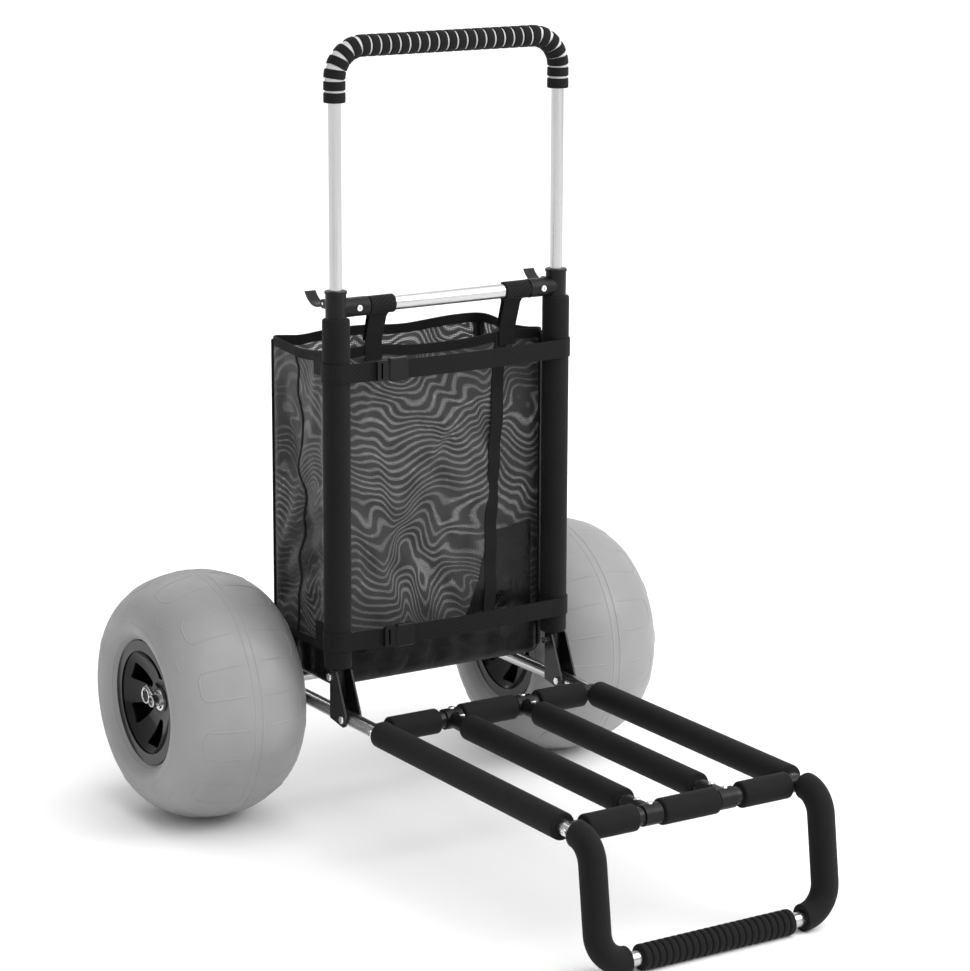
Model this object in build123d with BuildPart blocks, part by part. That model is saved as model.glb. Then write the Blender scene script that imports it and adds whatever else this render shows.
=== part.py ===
from build123d import *
from math import asin, cos, degrees, radians, sin, sqrt
import os

os.makedirs("parts", exist_ok=True)

# A two-wheeled beach cart: a flat tube deck with a foot loop in front, a back frame that folds
# forward onto the deck, a telescoping pull handle, a mesh bag and balloon wheels.
# Millimetres, +Z up, the foot loop towards -Y, the floor at Z = 0.

# ---------------------------------------------------------------- overall layout
wheel_radius = 165.0
wheel_width = 193.0
wheel_outset = 112.5        # wheel mid-plane outboard of the side rails
axle_setback = 172.0        # axle behind the uprights
deck_length = 543.0         # uprights to the front crossbar
foot_overhang = 62.0        # front crossbar to the foot bar
rail_spacing = 335.0        # between the side rails, and between the uprights
upper_bar_height = 700.0    # axis of the bar between the collars
handle_height = 1030.0      # axis of the handle's bar, fully pulled out
handle_travel = 235.0

# ---------------------------------------------------------------- tubes and foam
tube_radius = 9.5
tube_wall = 1.2
deck_bar_radius = 11.0
deck_bar_wall = 1.5
mid_bar_radius = 8.0
axle_radius = 8.0
axle_wall = 2.0
rail_foam_radius = 17.5
upright_foam_radius = 18.0
leg_foam_radius = 17.0
bar_foam_radius = 16.5
mid_foam_radius = 17.0
foot_grip_radius = 16.0
handle_grip_radius = 14.0

# ---------------------------------------------------------------- clearances
slide_clearance = 0.08      # telescoping tubes, radial
running_clearance = 0.05    # pins and the axle in their bores, radial
fit_gap = 0.05              # pieces of one body that seat on each other
body_gap = 0.3              # pieces that move past each other

# ---------------------------------------------------------------- places worked out from the above
handle_radius = tube_radius - tube_wall - slide_clearance
cart_length = wheel_radius + axle_setback + deck_length + foot_overhang + leg_foam_radius
axle_y = cart_length / 2 - wheel_radius
upright_y = axle_y - axle_setback
front_bar_y = upright_y - deck_length
foot_y = front_bar_y - foot_overhang
rail_x = rail_spacing / 2
wheel_centre_x = rail_x + wheel_outset
rail_z = wheel_radius
foot_z = foot_grip_radius
sides = {"left": -1, "right": 1}


def save(piece, name):
    piece.part.label = name
    export_step(piece.part, f"parts/{name}.step")


def rod_x(x_from, x_to, y, z, radius, mode=Mode.ADD):
    """Round bar along X inside the part being built."""
    with BuildSketch(Plane.YZ.offset(x_from)) as disc:
        with Locations((y, z)):
            Circle(radius)
    extrude(disc.sketch, amount=x_to - x_from, mode=mode)


def rod_y(y_from, y_to, x, z, radius, mode=Mode.ADD):
    """Round bar along Y inside the part being built."""
    with BuildSketch(Plane.XZ.offset(-y_to)) as disc:
        with Locations((x, z)):
            Circle(radius)
    extrude(disc.sketch, amount=y_to - y_from, mode=mode)


def rod_z(z_from, z_to, x, y, radius, mode=Mode.ADD):
    """Round bar along Z inside the part being built."""
    with BuildSketch(Plane.XY.offset(z_from)) as disc:
        with Locations((x, y)):
            Circle(radius)
    extrude(disc.sketch, amount=z_to - z_from, mode=mode)


def bent_tube(points, radii, outer, inner):
    """Tube along straight runs joined by arcs, inside the part being built."""
    with BuildLine() as route:
        FilletPolyline(*points, radius=radii)
    path = route.wires()[0]
    start = Plane(origin=path @ 0, z_dir=path % 0)
    with BuildSketch(start) as ring:
        Circle(outer)
        Circle(inner, mode=Mode.SUBTRACT)
    sweep(ring.sketch, path=path)


# ================================================================ deck
rear_bar_setback = 98.0     # rear crossbar ahead of the uprights
rear_bar_y = upright_y - rear_bar_setback
rail_tip = 10.0             # rail beyond the front crossbar
rail_front_y = front_bar_y - rail_tip
socket_radius = 12.0
socket_half = 14.0
socket_plug = 30.0
rail_rear_y = axle_y - socket_radius
screw_radius = 2.4
screw_head_radius = 4.5
screw_head_height = 2.4
pivot_setout = 31.0         # fold pivot ahead of the uprights
pivot_y = upright_y - pivot_setout
bolt_radius = 2.5

# side rails: straight tubes, drilled for the crossbar screws and the fold pivots
for name, side in sides.items():
    with BuildPart() as side_rail:
        rod_y(rail_front_y, rail_rear_y, side * rail_x, rail_z, tube_radius)
        rod_y(rail_front_y, rail_rear_y, side * rail_x, rail_z, tube_radius - tube_wall, Mode.SUBTRACT)
        reach = rail_x + tube_radius
        for y, radius in ((rear_bar_y, screw_radius), (front_bar_y, screw_radius), (pivot_y, bolt_radius)):
            rod_x(side * rail_x - reach, side * rail_x + reach, y, rail_z, radius + fit_gap, Mode.SUBTRACT)
    save(side_rail, f"{name}_side_rail")

# foot loop: one bent tube, its ends swaged to plug into the rails
upper_bend = 32.0
lower_bend = 38.0
swage_length = 30.0
leg_foam_start = 4.0        # the legs' foam begins this far beyond the rails' tips
knee_straight = 0.35        # straight tube inside that foam, before the bend
foot_x = rail_x
# the knee is where a bend that starts there turns the tube straight at the foot bar: half_turn is the
# tangent of half the bend's angle
knee_run = rail_front_y - leg_foam_start - knee_straight - foot_y
leg_drop = rail_z - foot_z
spare = leg_drop - 2 * upper_bend
half_turn = (sqrt(knee_run ** 2 + leg_drop * spare) - knee_run) / spare
knee_y = foot_y + knee_run - upper_bend * half_turn
with BuildPart() as foot_loop_tube:
    bent_tube(
        [(-foot_x, rail_front_y - fit_gap, rail_z), (-foot_x, knee_y, rail_z), (-foot_x, foot_y, foot_z),
         (foot_x, foot_y, foot_z), (foot_x, knee_y, rail_z), (foot_x, rail_front_y - fit_gap, rail_z)],
        [upper_bend, lower_bend, lower_bend, upper_bend], tube_radius, tube_radius - tube_wall)
    for side in sides.values():
        swage = tube_radius - tube_wall - fit_gap
        swage_start = rail_front_y - 2 * tube_wall
        rod_y(swage_start, rail_front_y - fit_gap, side * foot_x, rail_z, tube_radius - tube_wall / 2)
        rod_y(swage_start, rail_front_y + swage_length, side * foot_x, rail_z, swage)
        rod_y(swage_start, rail_front_y + swage_length, side * foot_x, rail_z, swage - tube_wall,
              Mode.SUBTRACT)
        rod_x(side * foot_x - tube_radius, side * foot_x + tube_radius, front_bar_y, rail_z,
              screw_radius + fit_gap, Mode.SUBTRACT)
save(foot_loop_tube, "foot_loop_tube")

# rivets through the mid-bar connectors, as (x, y, top of the connector there)
mid_bar_x = 55.0
connector_wall = 2.5
connector_width = 24.0
connector_socket = 34.0
connector_socket_wall = 3.0
rivet_radius = 2.0
rivet_head_radius = 4.2
rivet_head_height = 2.0
rivet_pitch = 26.0
saddle_radius = deck_bar_radius + connector_wall
socket_sleeve_radius = mid_bar_radius + connector_socket_wall
bars = {rear_bar_y: -1, front_bar_y: 1}     # each crossbar's Y, and the way its mid-bars leave
rivet_places = []
for bar_y, way in bars.items():
    for side in sides.values():
        rivet_places.append((side * mid_bar_x, bar_y, rail_z + saddle_radius))
        rivet_places.append((side * mid_bar_x, bar_y + way * rivet_pitch, rail_z + socket_sleeve_radius))


def rivet_holes():
    """Round holes for every rivet, down to the middle of the deck."""
    for x, y, top in rivet_places:
        rod_z(rail_z, top + 1, x, y, rivet_radius + fit_gap, Mode.SUBTRACT)


# crossbars: ends shaped round the rails
for name, bar_y in (("rear", rear_bar_y), ("front", front_bar_y)):
    with BuildPart() as crossbar:
        rod_x(-rail_x, rail_x, bar_y, rail_z, deck_bar_radius)
        rod_x(-rail_x, rail_x, bar_y, rail_z, deck_bar_radius - deck_bar_wall, Mode.SUBTRACT)
        for side in sides.values():
            rod_y(bar_y - 2 * deck_bar_radius, bar_y + 2 * deck_bar_radius, side * rail_x, rail_z,
                  tube_radius + fit_gap, Mode.SUBTRACT)
        rivet_holes()
    save(crossbar, f"{name}_crossbar")

# plugs in the crossbars' ends, which take the screws
plug_length = 22.0
with BuildPart() as crossbar_plugs:
    for bar_y in bars:
        for side in sides.values():
            inner_end = rail_x - tube_radius - plug_length
            rod_x(side * inner_end, side * rail_x, bar_y, rail_z, deck_bar_radius - deck_bar_wall - fit_gap)
            rod_y(bar_y - 2 * deck_bar_radius, bar_y + 2 * deck_bar_radius, side * rail_x, rail_z,
                  tube_radius + fit_gap, Mode.SUBTRACT)
            rod_x(side * inner_end, side * rail_x, bar_y, rail_z, screw_radius + fit_gap, Mode.SUBTRACT)
save(crossbar_plugs, "crossbar_plugs")

# screws through the rails into the plugs, with domed cross-slotted heads
slot_width = 1.2
slot_depth = 1.0


def screw_head(side, face_x, y, z, radius, height):
    """Domed head with a cross slot, standing out from face_x to the given side."""
    rod_x(face_x, face_x + side * height, y, z, radius)
    outer_face = faces().filter_by(Plane.YZ).sort_by(lambda f: side * f.center().X)[-1]
    fillet(outer_face.edges(), height * 0.6)
    for length_y, length_z in ((radius * 1.2, slot_width), (slot_width, radius * 1.2)):
        with BuildSketch(Plane.YZ.offset(face_x + side * (height - slot_depth))) as slot:
            with Locations((y, z)):
                Rectangle(length_y, length_z)
        extrude(slot.sketch, amount=side * 2 * slot_depth, mode=Mode.SUBTRACT)


rail_screws = []
for bar_y in bars:
    for side in sides.values():
        with BuildPart() as screw:
            face_x = side * (rail_x + tube_radius)
            screw_head(side, face_x, bar_y, rail_z, screw_head_radius, screw_head_height)
            rod_x(side * (rail_x - tube_radius - plug_length / 2), face_x, bar_y, rail_z, screw_radius)
        rail_screws.append(screw.part)
with BuildPart() as screws:
    add(rail_screws)
save(screws, "rail_screws")

# mid bars: two lengthwise tubes between the crossbars
for name, side in sides.items():
    with BuildPart() as mid_bar:
        rear_end = rear_bar_y - deck_bar_radius - fit_gap
        front_end = front_bar_y + deck_bar_radius + fit_gap
        rod_y(front_end, rear_end, side * mid_bar_x, rail_z, mid_bar_radius)
        rod_y(front_end, rear_end, side * mid_bar_x, rail_z, mid_bar_radius - tube_wall, Mode.SUBTRACT)
        rivet_holes()
    save(mid_bar, f"{name}_mid_bar")

# connectors: a saddle round the crossbar and a socket for the mid bar
connectors = []
for bar_y, way in bars.items():
    for side in sides.values():
        x = side * mid_bar_x
        with BuildPart() as connector:
            rod_x(x - connector_width / 2, x + connector_width / 2, bar_y, rail_z, saddle_radius)
            socket_end = bar_y + way * (deck_bar_radius + connector_socket)
            rod_y(min(bar_y, socket_end), max(bar_y, socket_end), x, rail_z, socket_sleeve_radius)
            rod_x(x - connector_width / 2, x + connector_width / 2, bar_y, rail_z,
                  deck_bar_radius + fit_gap, Mode.SUBTRACT)
            bore_start = bar_y + way * deck_bar_radius
            rod_y(min(bore_start, socket_end), max(bore_start, socket_end), x, rail_z,
                  mid_bar_radius + fit_gap, Mode.SUBTRACT)
            rivet_holes()
        connectors.append(connector.part)
with BuildPart() as mid_bar_connectors:
    add(connectors)
save(mid_bar_connectors, "mid_bar_connectors")

rivets = []
for x, y, top in rivet_places:
    with BuildPart() as rivet:
        rod_z(rail_z + mid_bar_radius / 2, top, x, y, rivet_radius)
        rod_z(top, top + rivet_head_height, x, y, rivet_head_radius)
        fillet(faces().sort_by(Axis.Z)[-1].edges(), rivet_head_height * 0.8)
    rivets.append(rivet.part)
with BuildPart() as connector_rivets:
    add(rivets)
save(connector_rivets, "connector_rivets")

# foam sleeves on the rails, the mid bars and the crossbars
foam_round = 3.0
rail_foam_rear_y = rear_bar_y - deck_bar_radius - 0.5
rail_foam_front_y = front_bar_y + deck_bar_radius + 5.0


def foam_sleeves_y(lines, y_from, y_to, outer, inner):
    """Straight foam sleeves along Y, one for each X, with rounded ends."""
    for x in lines:
        rod_y(y_from, y_to, x, rail_z, outer)
    fillet(edges().filter_by(GeomType.CIRCLE), foam_round)
    for x in lines:
        rod_y(y_from, y_to, x, rail_z, inner, Mode.SUBTRACT)


with BuildPart() as rail_foams:
    foam_sleeves_y([-rail_x, rail_x], rail_foam_front_y, rail_foam_rear_y, rail_foam_radius,
                   tube_radius + fit_gap)
save(rail_foams, "rail_foams")

connector_reach = deck_bar_radius + connector_socket
front_tube_show = 8.0       # bare mid bar in front of the foam
with BuildPart() as mid_bar_foams:
    foam_sleeves_y([-mid_bar_x, mid_bar_x], front_bar_y + connector_reach + front_tube_show,
                   rear_bar_y - connector_reach - fit_gap, mid_foam_radius, mid_bar_radius + fit_gap)
save(mid_bar_foams, "mid_bar_foams")

centre_foam_half = mid_bar_x - 14.0
side_foam_from = mid_bar_x + 22.0
side_foam_to = rail_x - rail_foam_radius - 0.5
for name, bar_y in (("rear", rear_bar_y), ("front", front_bar_y)):
    with BuildPart() as bar_foams:
        spans = [(-side_foam_to, -side_foam_from), (-centre_foam_half, centre_foam_half),
                 (side_foam_from, side_foam_to)]
        for x_from, x_to in spans:
            rod_x(x_from, x_to, bar_y, rail_z, bar_foam_radius)
        fillet(edges().filter_by(GeomType.CIRCLE), foam_round)
        for x_from, x_to in spans:
            rod_x(x_from, x_to, bar_y, rail_z, deck_bar_radius + fit_gap, Mode.SUBTRACT)
    save(bar_foams, f"{name}_crossbar_foams")

# foam on the foot loop's legs, from the rail's tip round the knee and the foot corner
foot_foam_x = foot_x - lower_bend - 1.0
leg_foams = []
for side in sides.values():
    with BuildPart() as leg_foam:
        bent_tube(
            [(side * foot_x, rail_front_y - leg_foam_start, rail_z), (side * foot_x, knee_y, rail_z),
             (side * foot_x, foot_y, foot_z + fit_gap), (side * foot_foam_x, foot_y, foot_z + fit_gap)],
            [upper_bend, lower_bend], leg_foam_radius, tube_radius + fit_gap)
        # flattened where the foam would press into the floor
        with BuildSketch(Plane.XY):
            with Locations((side * foot_x, foot_y)):
                Rectangle(4 * lower_bend, 4 * lower_bend)
        extrude(amount=-2 * leg_foam_radius, mode=Mode.SUBTRACT)
    leg_foams.append(leg_foam.part)
with BuildPart() as foot_leg_foams:
    add(leg_foams)
save(foot_leg_foams, "foot_leg_foams")

# ribbed foam grip on the foot bar, which the cart stands on
foot_grip_half = foot_x - 56.5
rib_count = 23
rib_depth = 2.2
rib_pitch = 2 * foot_grip_half / rib_count
with BuildPart() as foot_grip:
    rod_x(-foot_grip_half, foot_grip_half, foot_y, foot_z, foot_grip_radius)
    for k in range(1, rib_count):
        groove_x = -foot_grip_half + k * rib_pitch
        with BuildSketch(Plane.YZ.offset(groove_x - rib_pitch * 0.15)):
            with Locations((foot_y, foot_z)):
                Circle(foot_grip_radius + 1)
                Circle(foot_grip_radius - rib_depth, mode=Mode.SUBTRACT)
        extrude(amount=rib_pitch * 0.3, mode=Mode.SUBTRACT)
    rod_x(-foot_grip_half, foot_grip_half, foot_y, foot_z, tube_radius + fit_gap, Mode.SUBTRACT)
save(foot_grip, "foot_grip")

# ================================================================ axle and its fittings
hub_half = 82.5             # rim plane from the wheel's mid-plane
bush_face = 60.0            # bush flange's outer face from the wheel's mid-plane
washer_thickness = 1.8
side_play = 0.1
pin_radius = 2.5
pin_stop_radius = 4.0
pin_x = wheel_centre_x + bush_face + washer_thickness + pin_stop_radius + 3 * side_play
axle_end_x = pin_x + 8.0
pin_dir = Vector(0, -cos(radians(28)), -sin(radians(28)))

with BuildPart() as axle:
    rod_x(-axle_end_x, axle_end_x, axle_y, rail_z, axle_radius)
    chamfer(edges().filter_by(GeomType.CIRCLE), 0.8)
    rod_x(-axle_end_x, axle_end_x, axle_y, rail_z, axle_radius - axle_wall, Mode.SUBTRACT)
    for side in sides.values():
        with BuildSketch(Plane(origin=(side * pin_x, axle_y, rail_z), z_dir=pin_dir)):
            Circle(pin_radius + running_clearance)
        extrude(amount=2 * axle_radius, both=True, mode=Mode.SUBTRACT)
save(axle, "axle")

for name, side in sides.items():
    with BuildPart() as axle_socket:
        rod_x(side * rail_x - socket_half, side * rail_x + socket_half, axle_y, rail_z, socket_radius)
        fillet(edges().filter_by(GeomType.CIRCLE), 1.5)
        rod_y(rail_rear_y + fit_gap, axle_y, side * rail_x, rail_z, tube_radius)
        rod_y(rail_rear_y - socket_plug, axle_y, side * rail_x, rail_z, tube_radius - tube_wall - fit_gap)
        rod_x(side * rail_x - 2 * socket_half, side * rail_x + 2 * socket_half, axle_y, rail_z,
              axle_radius + fit_gap, Mode.SUBTRACT)
    save(axle_socket, f"{name}_axle_socket")

spacer_radius = 11.0
washer_radius = 14.0
with BuildPart() as axle_spacers:
    for side in sides.values():
        spacer_from = rail_x + socket_half + side_play
        spacer_to = wheel_centre_x - bush_face - side_play
        rod_x(side * spacer_from, side * spacer_to, axle_y, rail_z, spacer_radius)
        washer_from = wheel_centre_x + bush_face + side_play
        rod_x(side * washer_from, side * (washer_from + washer_thickness), axle_y, rail_z, washer_radius)
    rod_x(-axle_end_x, axle_end_x, axle_y, rail_z, axle_radius + fit_gap, Mode.SUBTRACT)
save(axle_spacers, "axle_spacers")

# linch pins: a rod across the axle's end with a stop collar, and an eye that the pull ring hangs in
pin_tail = 14.0             # beyond the axle's middle, below
pin_lead = 30.0             # above
pin_stop_height = 2.4
eye_from_end = 5.0
eye_offset = 4.2            # outboard of the pin
eye_hole_radius = 2.2
eye_radius = 3.8
eye_half = 0.8
ring_radius = 9.8
ring_wire_radius = 1.15
for name, side in sides.items():
    pin_middle = Vector(side * pin_x, axle_y, rail_z)
    eye = pin_middle - pin_dir * (pin_lead - eye_from_end) + Vector(side * eye_offset, 0, 0)
    with BuildPart() as axle_pin:
        with BuildSketch(Plane(origin=pin_middle - pin_dir * pin_lead, z_dir=pin_dir)):
            Circle(pin_radius)
        extrude(amount=pin_lead + pin_tail)
        chamfer(edges().filter_by(GeomType.CIRCLE), 0.7)
        with BuildSketch(Plane(origin=pin_middle - pin_dir * (axle_radius + side_play), z_dir=-pin_dir)):
            Circle(pin_stop_radius)
        extrude(amount=pin_stop_height)
        rod_y(eye.Y - eye_half, eye.Y + eye_half, eye.X, eye.Z, eye_radius)
        rod_y(eye.Y - eye_half, eye.Y + eye_half, eye.X, eye.Z, eye_hole_radius, Mode.SUBTRACT)
    save(axle_pin, f"{name}_axle_pin")
    with BuildPart() as pin_ring:
        with BuildSketch(Plane.XZ.offset(-eye.Y)):
            with Locations((eye.X, eye.Z)):
                Circle(ring_wire_radius)
        revolve(axis=Axis((eye.X, eye.Y, eye.Z - ring_radius), (1, 0, 0)))
    save(pin_ring, f"{name}_pin_ring")

# ================================================================ wheels
rim_radius = 82.8
rim_lip = 4.0
barrel_radius = 72.0
hub_wall = 3.0
sleeve_radius = 18.0
bush_radius = 12.0
bush_flange_radius = 16.0
bush_flange = 2.0
bush_length = 22.0
window_count = 6
window_round = 3.0
tyre_wall = 3.0
belly_radius = wheel_radius - 60.0     # where the tyre is widest
dish_depth = 24.0           # rim plane to the dish at the sleeve
sleeve_half = bush_face - bush_flange
valve_angle = 186.0         # round the axle, from the rear
valve_radius = 2.6
valve_length = 17.0


def tyre_outline(inset, bead):
    """Closed outline of the tyre's section, inset from its outside, down to the bead's radius."""
    half = wheel_width / 2 - inset
    seat_x = hub_half - rim_lip - fit_gap - inset
    fall = (belly_radius - rim_radius) / sqrt(1 - (seat_x / half) ** 2)
    stop = degrees(asin((belly_radius - rim_radius) / fall))
    EllipticalCenterArc((0, belly_radius), half, wheel_radius - belly_radius - inset, 0, arc_size=180)
    EllipticalCenterArc((0, belly_radius), half, fall, -stop, arc_size=stop)
    EllipticalCenterArc((0, belly_radius), half, fall, 180, arc_size=stop)
    Polyline((seat_x, rim_radius), (seat_x, bead), (-seat_x, bead), (-seat_x, rim_radius))


for name, side in sides.items():
    centre = Vector(side * wheel_centre_x, axle_y, rail_z)
    valve_reach = 0.77 * barrel_radius
    valve_y = axle_y + valve_reach * cos(radians(valve_angle))
    valve_z = rail_z + valve_reach * sin(radians(valve_angle))
    valve_x = side * (wheel_centre_x + hub_half - 0.45 * dish_depth)
    section = Plane(origin=centre, x_dir=(side, 0, 0), z_dir=(0, -side, 0))
    spin = Axis(centre, (1, 0, 0))

    with BuildPart() as tyre:
        with BuildSketch(section):
            with BuildLine():
                tyre_outline(0, barrel_radius + fit_gap)
            make_face()
        revolve(axis=spin)
        with BuildSketch(section):
            with BuildLine():
                tyre_outline(tyre_wall, barrel_radius - 1)
            make_face()
        revolve(axis=spin, mode=Mode.SUBTRACT)
    save(tyre, f"{name}_tyre")

    with BuildPart() as hub:
        with BuildSketch(section):
            with Locations((0, barrel_radius - hub_wall / 2)):
                Rectangle(2 * hub_half, hub_wall)
            for way in (-1, 1):
                with Locations((way * (hub_half - rim_lip / 2), (rim_radius + barrel_radius - hub_wall) / 2)):
                    Rectangle(rim_lip, rim_radius - barrel_radius + hub_wall)
            with Locations((0, (sleeve_radius + bush_radius + fit_gap) / 2)):
                Rectangle(2 * sleeve_half, sleeve_radius - bush_radius - fit_gap)
        revolve(axis=spin)
        for way in (-1, 1):
            rim_edge = way * (hub_half - 1)
            dish_foot = way * (hub_half - dish_depth)
            bowl = way * (hub_half - 0.82 * dish_depth)
            with BuildSketch(section):
                with BuildLine():
                    ThreePointArc((rim_edge, barrel_radius - 1), (bowl, 0.62 * barrel_radius),
                                  (dish_foot, sleeve_radius - 1))
                    ThreePointArc((rim_edge - way * 1.6 * hub_wall, barrel_radius - 1),
                                  (bowl - way * hub_wall, 0.62 * barrel_radius - hub_wall / 2),
                                  (dish_foot - way * hub_wall, sleeve_radius - 1))
                    Line((rim_edge, barrel_radius - 1), (rim_edge - way * 1.6 * hub_wall, barrel_radius - 1))
                    Line((dish_foot, sleeve_radius - 1), (dish_foot - way * hub_wall, sleeve_radius - 1))
                make_face()
            revolve(axis=spin)
        # spoke windows through both dishes, and the valve's hole in a spoke of the outer one
        inner_r, outer_r = sleeve_radius + 10, barrel_radius - hub_wall - 6
        inner_half, outer_half = radians(9), radians(14)
        window = [(inner_r * cos(inner_half), -inner_r * sin(inner_half)),
                  (outer_r * cos(outer_half), -outer_r * sin(outer_half)),
                  (outer_r * cos(outer_half), outer_r * sin(outer_half)),
                  (inner_r * cos(inner_half), inner_r * sin(inner_half))]
        with BuildSketch(Plane(origin=centre, x_dir=(0, 1, 0), z_dir=(1, 0, 0))):
            with PolarLocations(0, window_count, start_angle=180 / window_count):
                Polygon(*window, align=None)
            fillet(vertices(), window_round)
        extrude(amount=2 * hub_half, both=True, mode=Mode.SUBTRACT)
        rod_x(valve_x - side * 0.6 * dish_depth, valve_x, valve_y, valve_z, valve_radius + fit_gap,
              Mode.SUBTRACT)
    save(hub, f"{name}_hub")

    with BuildPart() as hub_bushes:
        for way in (-1, 1):
            inner = centre.X + way * (sleeve_half - bush_length)
            outer = centre.X + way * sleeve_half
            rod_x(inner, outer, axle_y, rail_z, bush_radius)
            rod_x(outer, outer + way * bush_flange, axle_y, rail_z, bush_flange_radius)
        rod_x(centre.X - bush_face, centre.X + bush_face, axle_y, rail_z,
              axle_radius + running_clearance, Mode.SUBTRACT)
    save(hub_bushes, f"{name}_hub_bushes")

    # valve: a foot through the outer dish's spoke, and a stem that turns up in front of it
    with BuildPart() as valve:
        rod_z(valve_z, valve_z + valve_length, valve_x, valve_y, valve_radius)
        chamfer(edges().filter_by(GeomType.CIRCLE), 0.6)
        rod_x(valve_x - side * 0.3 * dish_depth, valve_x, valve_y, valve_z, valve_radius)
    save(valve, f"{name}_valve")

# ================================================================ back frame
bracket_gap = tube_radius + body_gap
bracket_plate = 2.4
bracket_half = bracket_gap + bracket_plate
bracket_top_z = rail_z + 61.0
upper_bolt_z = rail_z + 50.0
upright_low_z = rail_z + 39.0
upright_top_z = upper_bar_height + 12.0
bracket_rear = 1.0          # behind the uprights' axis
bracket_top_depth = 16.0
pivot_round = 10.0
bolt_head_radius = 5.0
bolt_head_height = 3.2
fold_gap = 0.15             # bolt heads clear of the swinging plates

for name, side in sides.items():
    centre_x = side * rail_x
    with BuildPart() as bracket:
        # side plates: upright at the back, slanting forward down to the pivot
        for plate_x in (centre_x - bracket_half, centre_x + bracket_gap):
            with BuildSketch(Plane.YZ.offset(plate_x)):
                rear_y = upright_y + bracket_rear
                front_top = (rear_y - bracket_top_depth, bracket_top_z)
                slope = Vector(front_top[0] - pivot_y, front_top[1] - rail_z)
                lean = asin(pivot_round / slope.length)
                tangent = slope.normalized().rotate(Axis.Z, 90 - degrees(lean)) * pivot_round
                front_end = (pivot_y + tangent.X, rail_z + tangent.Y)
                foot = (pivot_y, rail_z - pivot_round)
                with BuildLine():
                    Polyline(foot, (rear_y, rail_z - pivot_round / 2), (rear_y, bracket_top_z), front_top,
                             front_end)
                    RadiusArc(front_end, foot, -pivot_round)
                make_face()
            extrude(amount=bracket_plate)
        # rear web, which stops on the rail's top and carries the upright's foot
        with BuildSketch(Plane.YZ.offset(centre_x - bracket_gap)):
            with BuildLine():
                web_low = rail_z + tube_radius + body_gap
                web_front = rear_y - bracket_plate
                Polyline((web_front, web_low), (rear_y, web_low), (rear_y, upright_low_z - fit_gap),
                         (web_front, upright_low_z - fit_gap), close=True)
            make_face()
        extrude(amount=2 * bracket_gap)
        rod_x(centre_x - bracket_half, centre_x + bracket_half, pivot_y, rail_z,
              bolt_radius + running_clearance, Mode.SUBTRACT)
        rod_x(centre_x - bracket_half, centre_x + bracket_half, upright_y, upper_bolt_z,
              bolt_radius + fit_gap, Mode.SUBTRACT)
    save(bracket, f"{name}_bracket")

# bolts: the upper pair holds the uprights in the brackets, the pivot pair is the fold's hinge
for name, y, z, gap in (("upper_bolts", upright_y, upper_bolt_z, fit_gap),
                        ("pivot_bolts", pivot_y, rail_z, fold_gap)):
    bolts = []
    for side in sides.values():
        centre_x = side * rail_x
        head_x = centre_x + side * (bracket_half + gap)
        nut_x = centre_x - side * (bracket_half + gap)
        with BuildPart() as bolt:
            screw_head(side, head_x, y, z, bolt_head_radius, bolt_head_height)
            rod_x(nut_x, head_x, y, z, bolt_radius)
            with BuildSketch(Plane.YZ.offset(nut_x)):
                with Locations((y, z)):
                    RegularPolygon(bolt_head_radius, 6)
            extrude(amount=-side * bolt_head_height)
        bolts.append(bolt.part)
    with BuildPart() as bolt_pair:
        add(bolts)
    save(bolt_pair, name)

for name, side in sides.items():
    centre_x = side * rail_x
    with BuildPart() as upright:
        rod_z(upright_low_z, upright_top_z, centre_x, upright_y, tube_radius)
        rod_z(upright_low_z, upright_top_z, centre_x, upright_y, tube_radius - tube_wall, Mode.SUBTRACT)
        rod_x(centre_x - 2 * tube_radius, centre_x + 2 * tube_radius, upright_y, upper_bolt_z,
              bolt_radius + fit_gap, Mode.SUBTRACT)
    save(upright, f"{name}_upright")

# collars: a barrel on each upright's top, an arm for the upper bar and ears for the clamp lever
collar_radius = tube_radius + 4.0
arm_radius = tube_radius + 3.0
collar_skirt = 0.5          # the barrel below its arm
collar_low_z = upper_bar_height - arm_radius - collar_skirt
collar_height = 36.0
collar_flange = 3.5
collar_flange_radius = collar_radius + 1.0
arm_end_x = rail_x - 44.5
bar_insert = 25.0
collar_rivet_x = rail_x - 27.5
lever_pivot_setback = collar_radius + 6.5
lever_pivot_z = upper_bar_height + 4.0
ear_thickness = 3.5
ear_radius = 6.0
lever_width = 9.0
lever_pin_radius = 1.8
collar_top_z = collar_low_z + collar_height
lever_y = upright_y + lever_pivot_setback
upper_bar_end = arm_end_x + bar_insert

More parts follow.
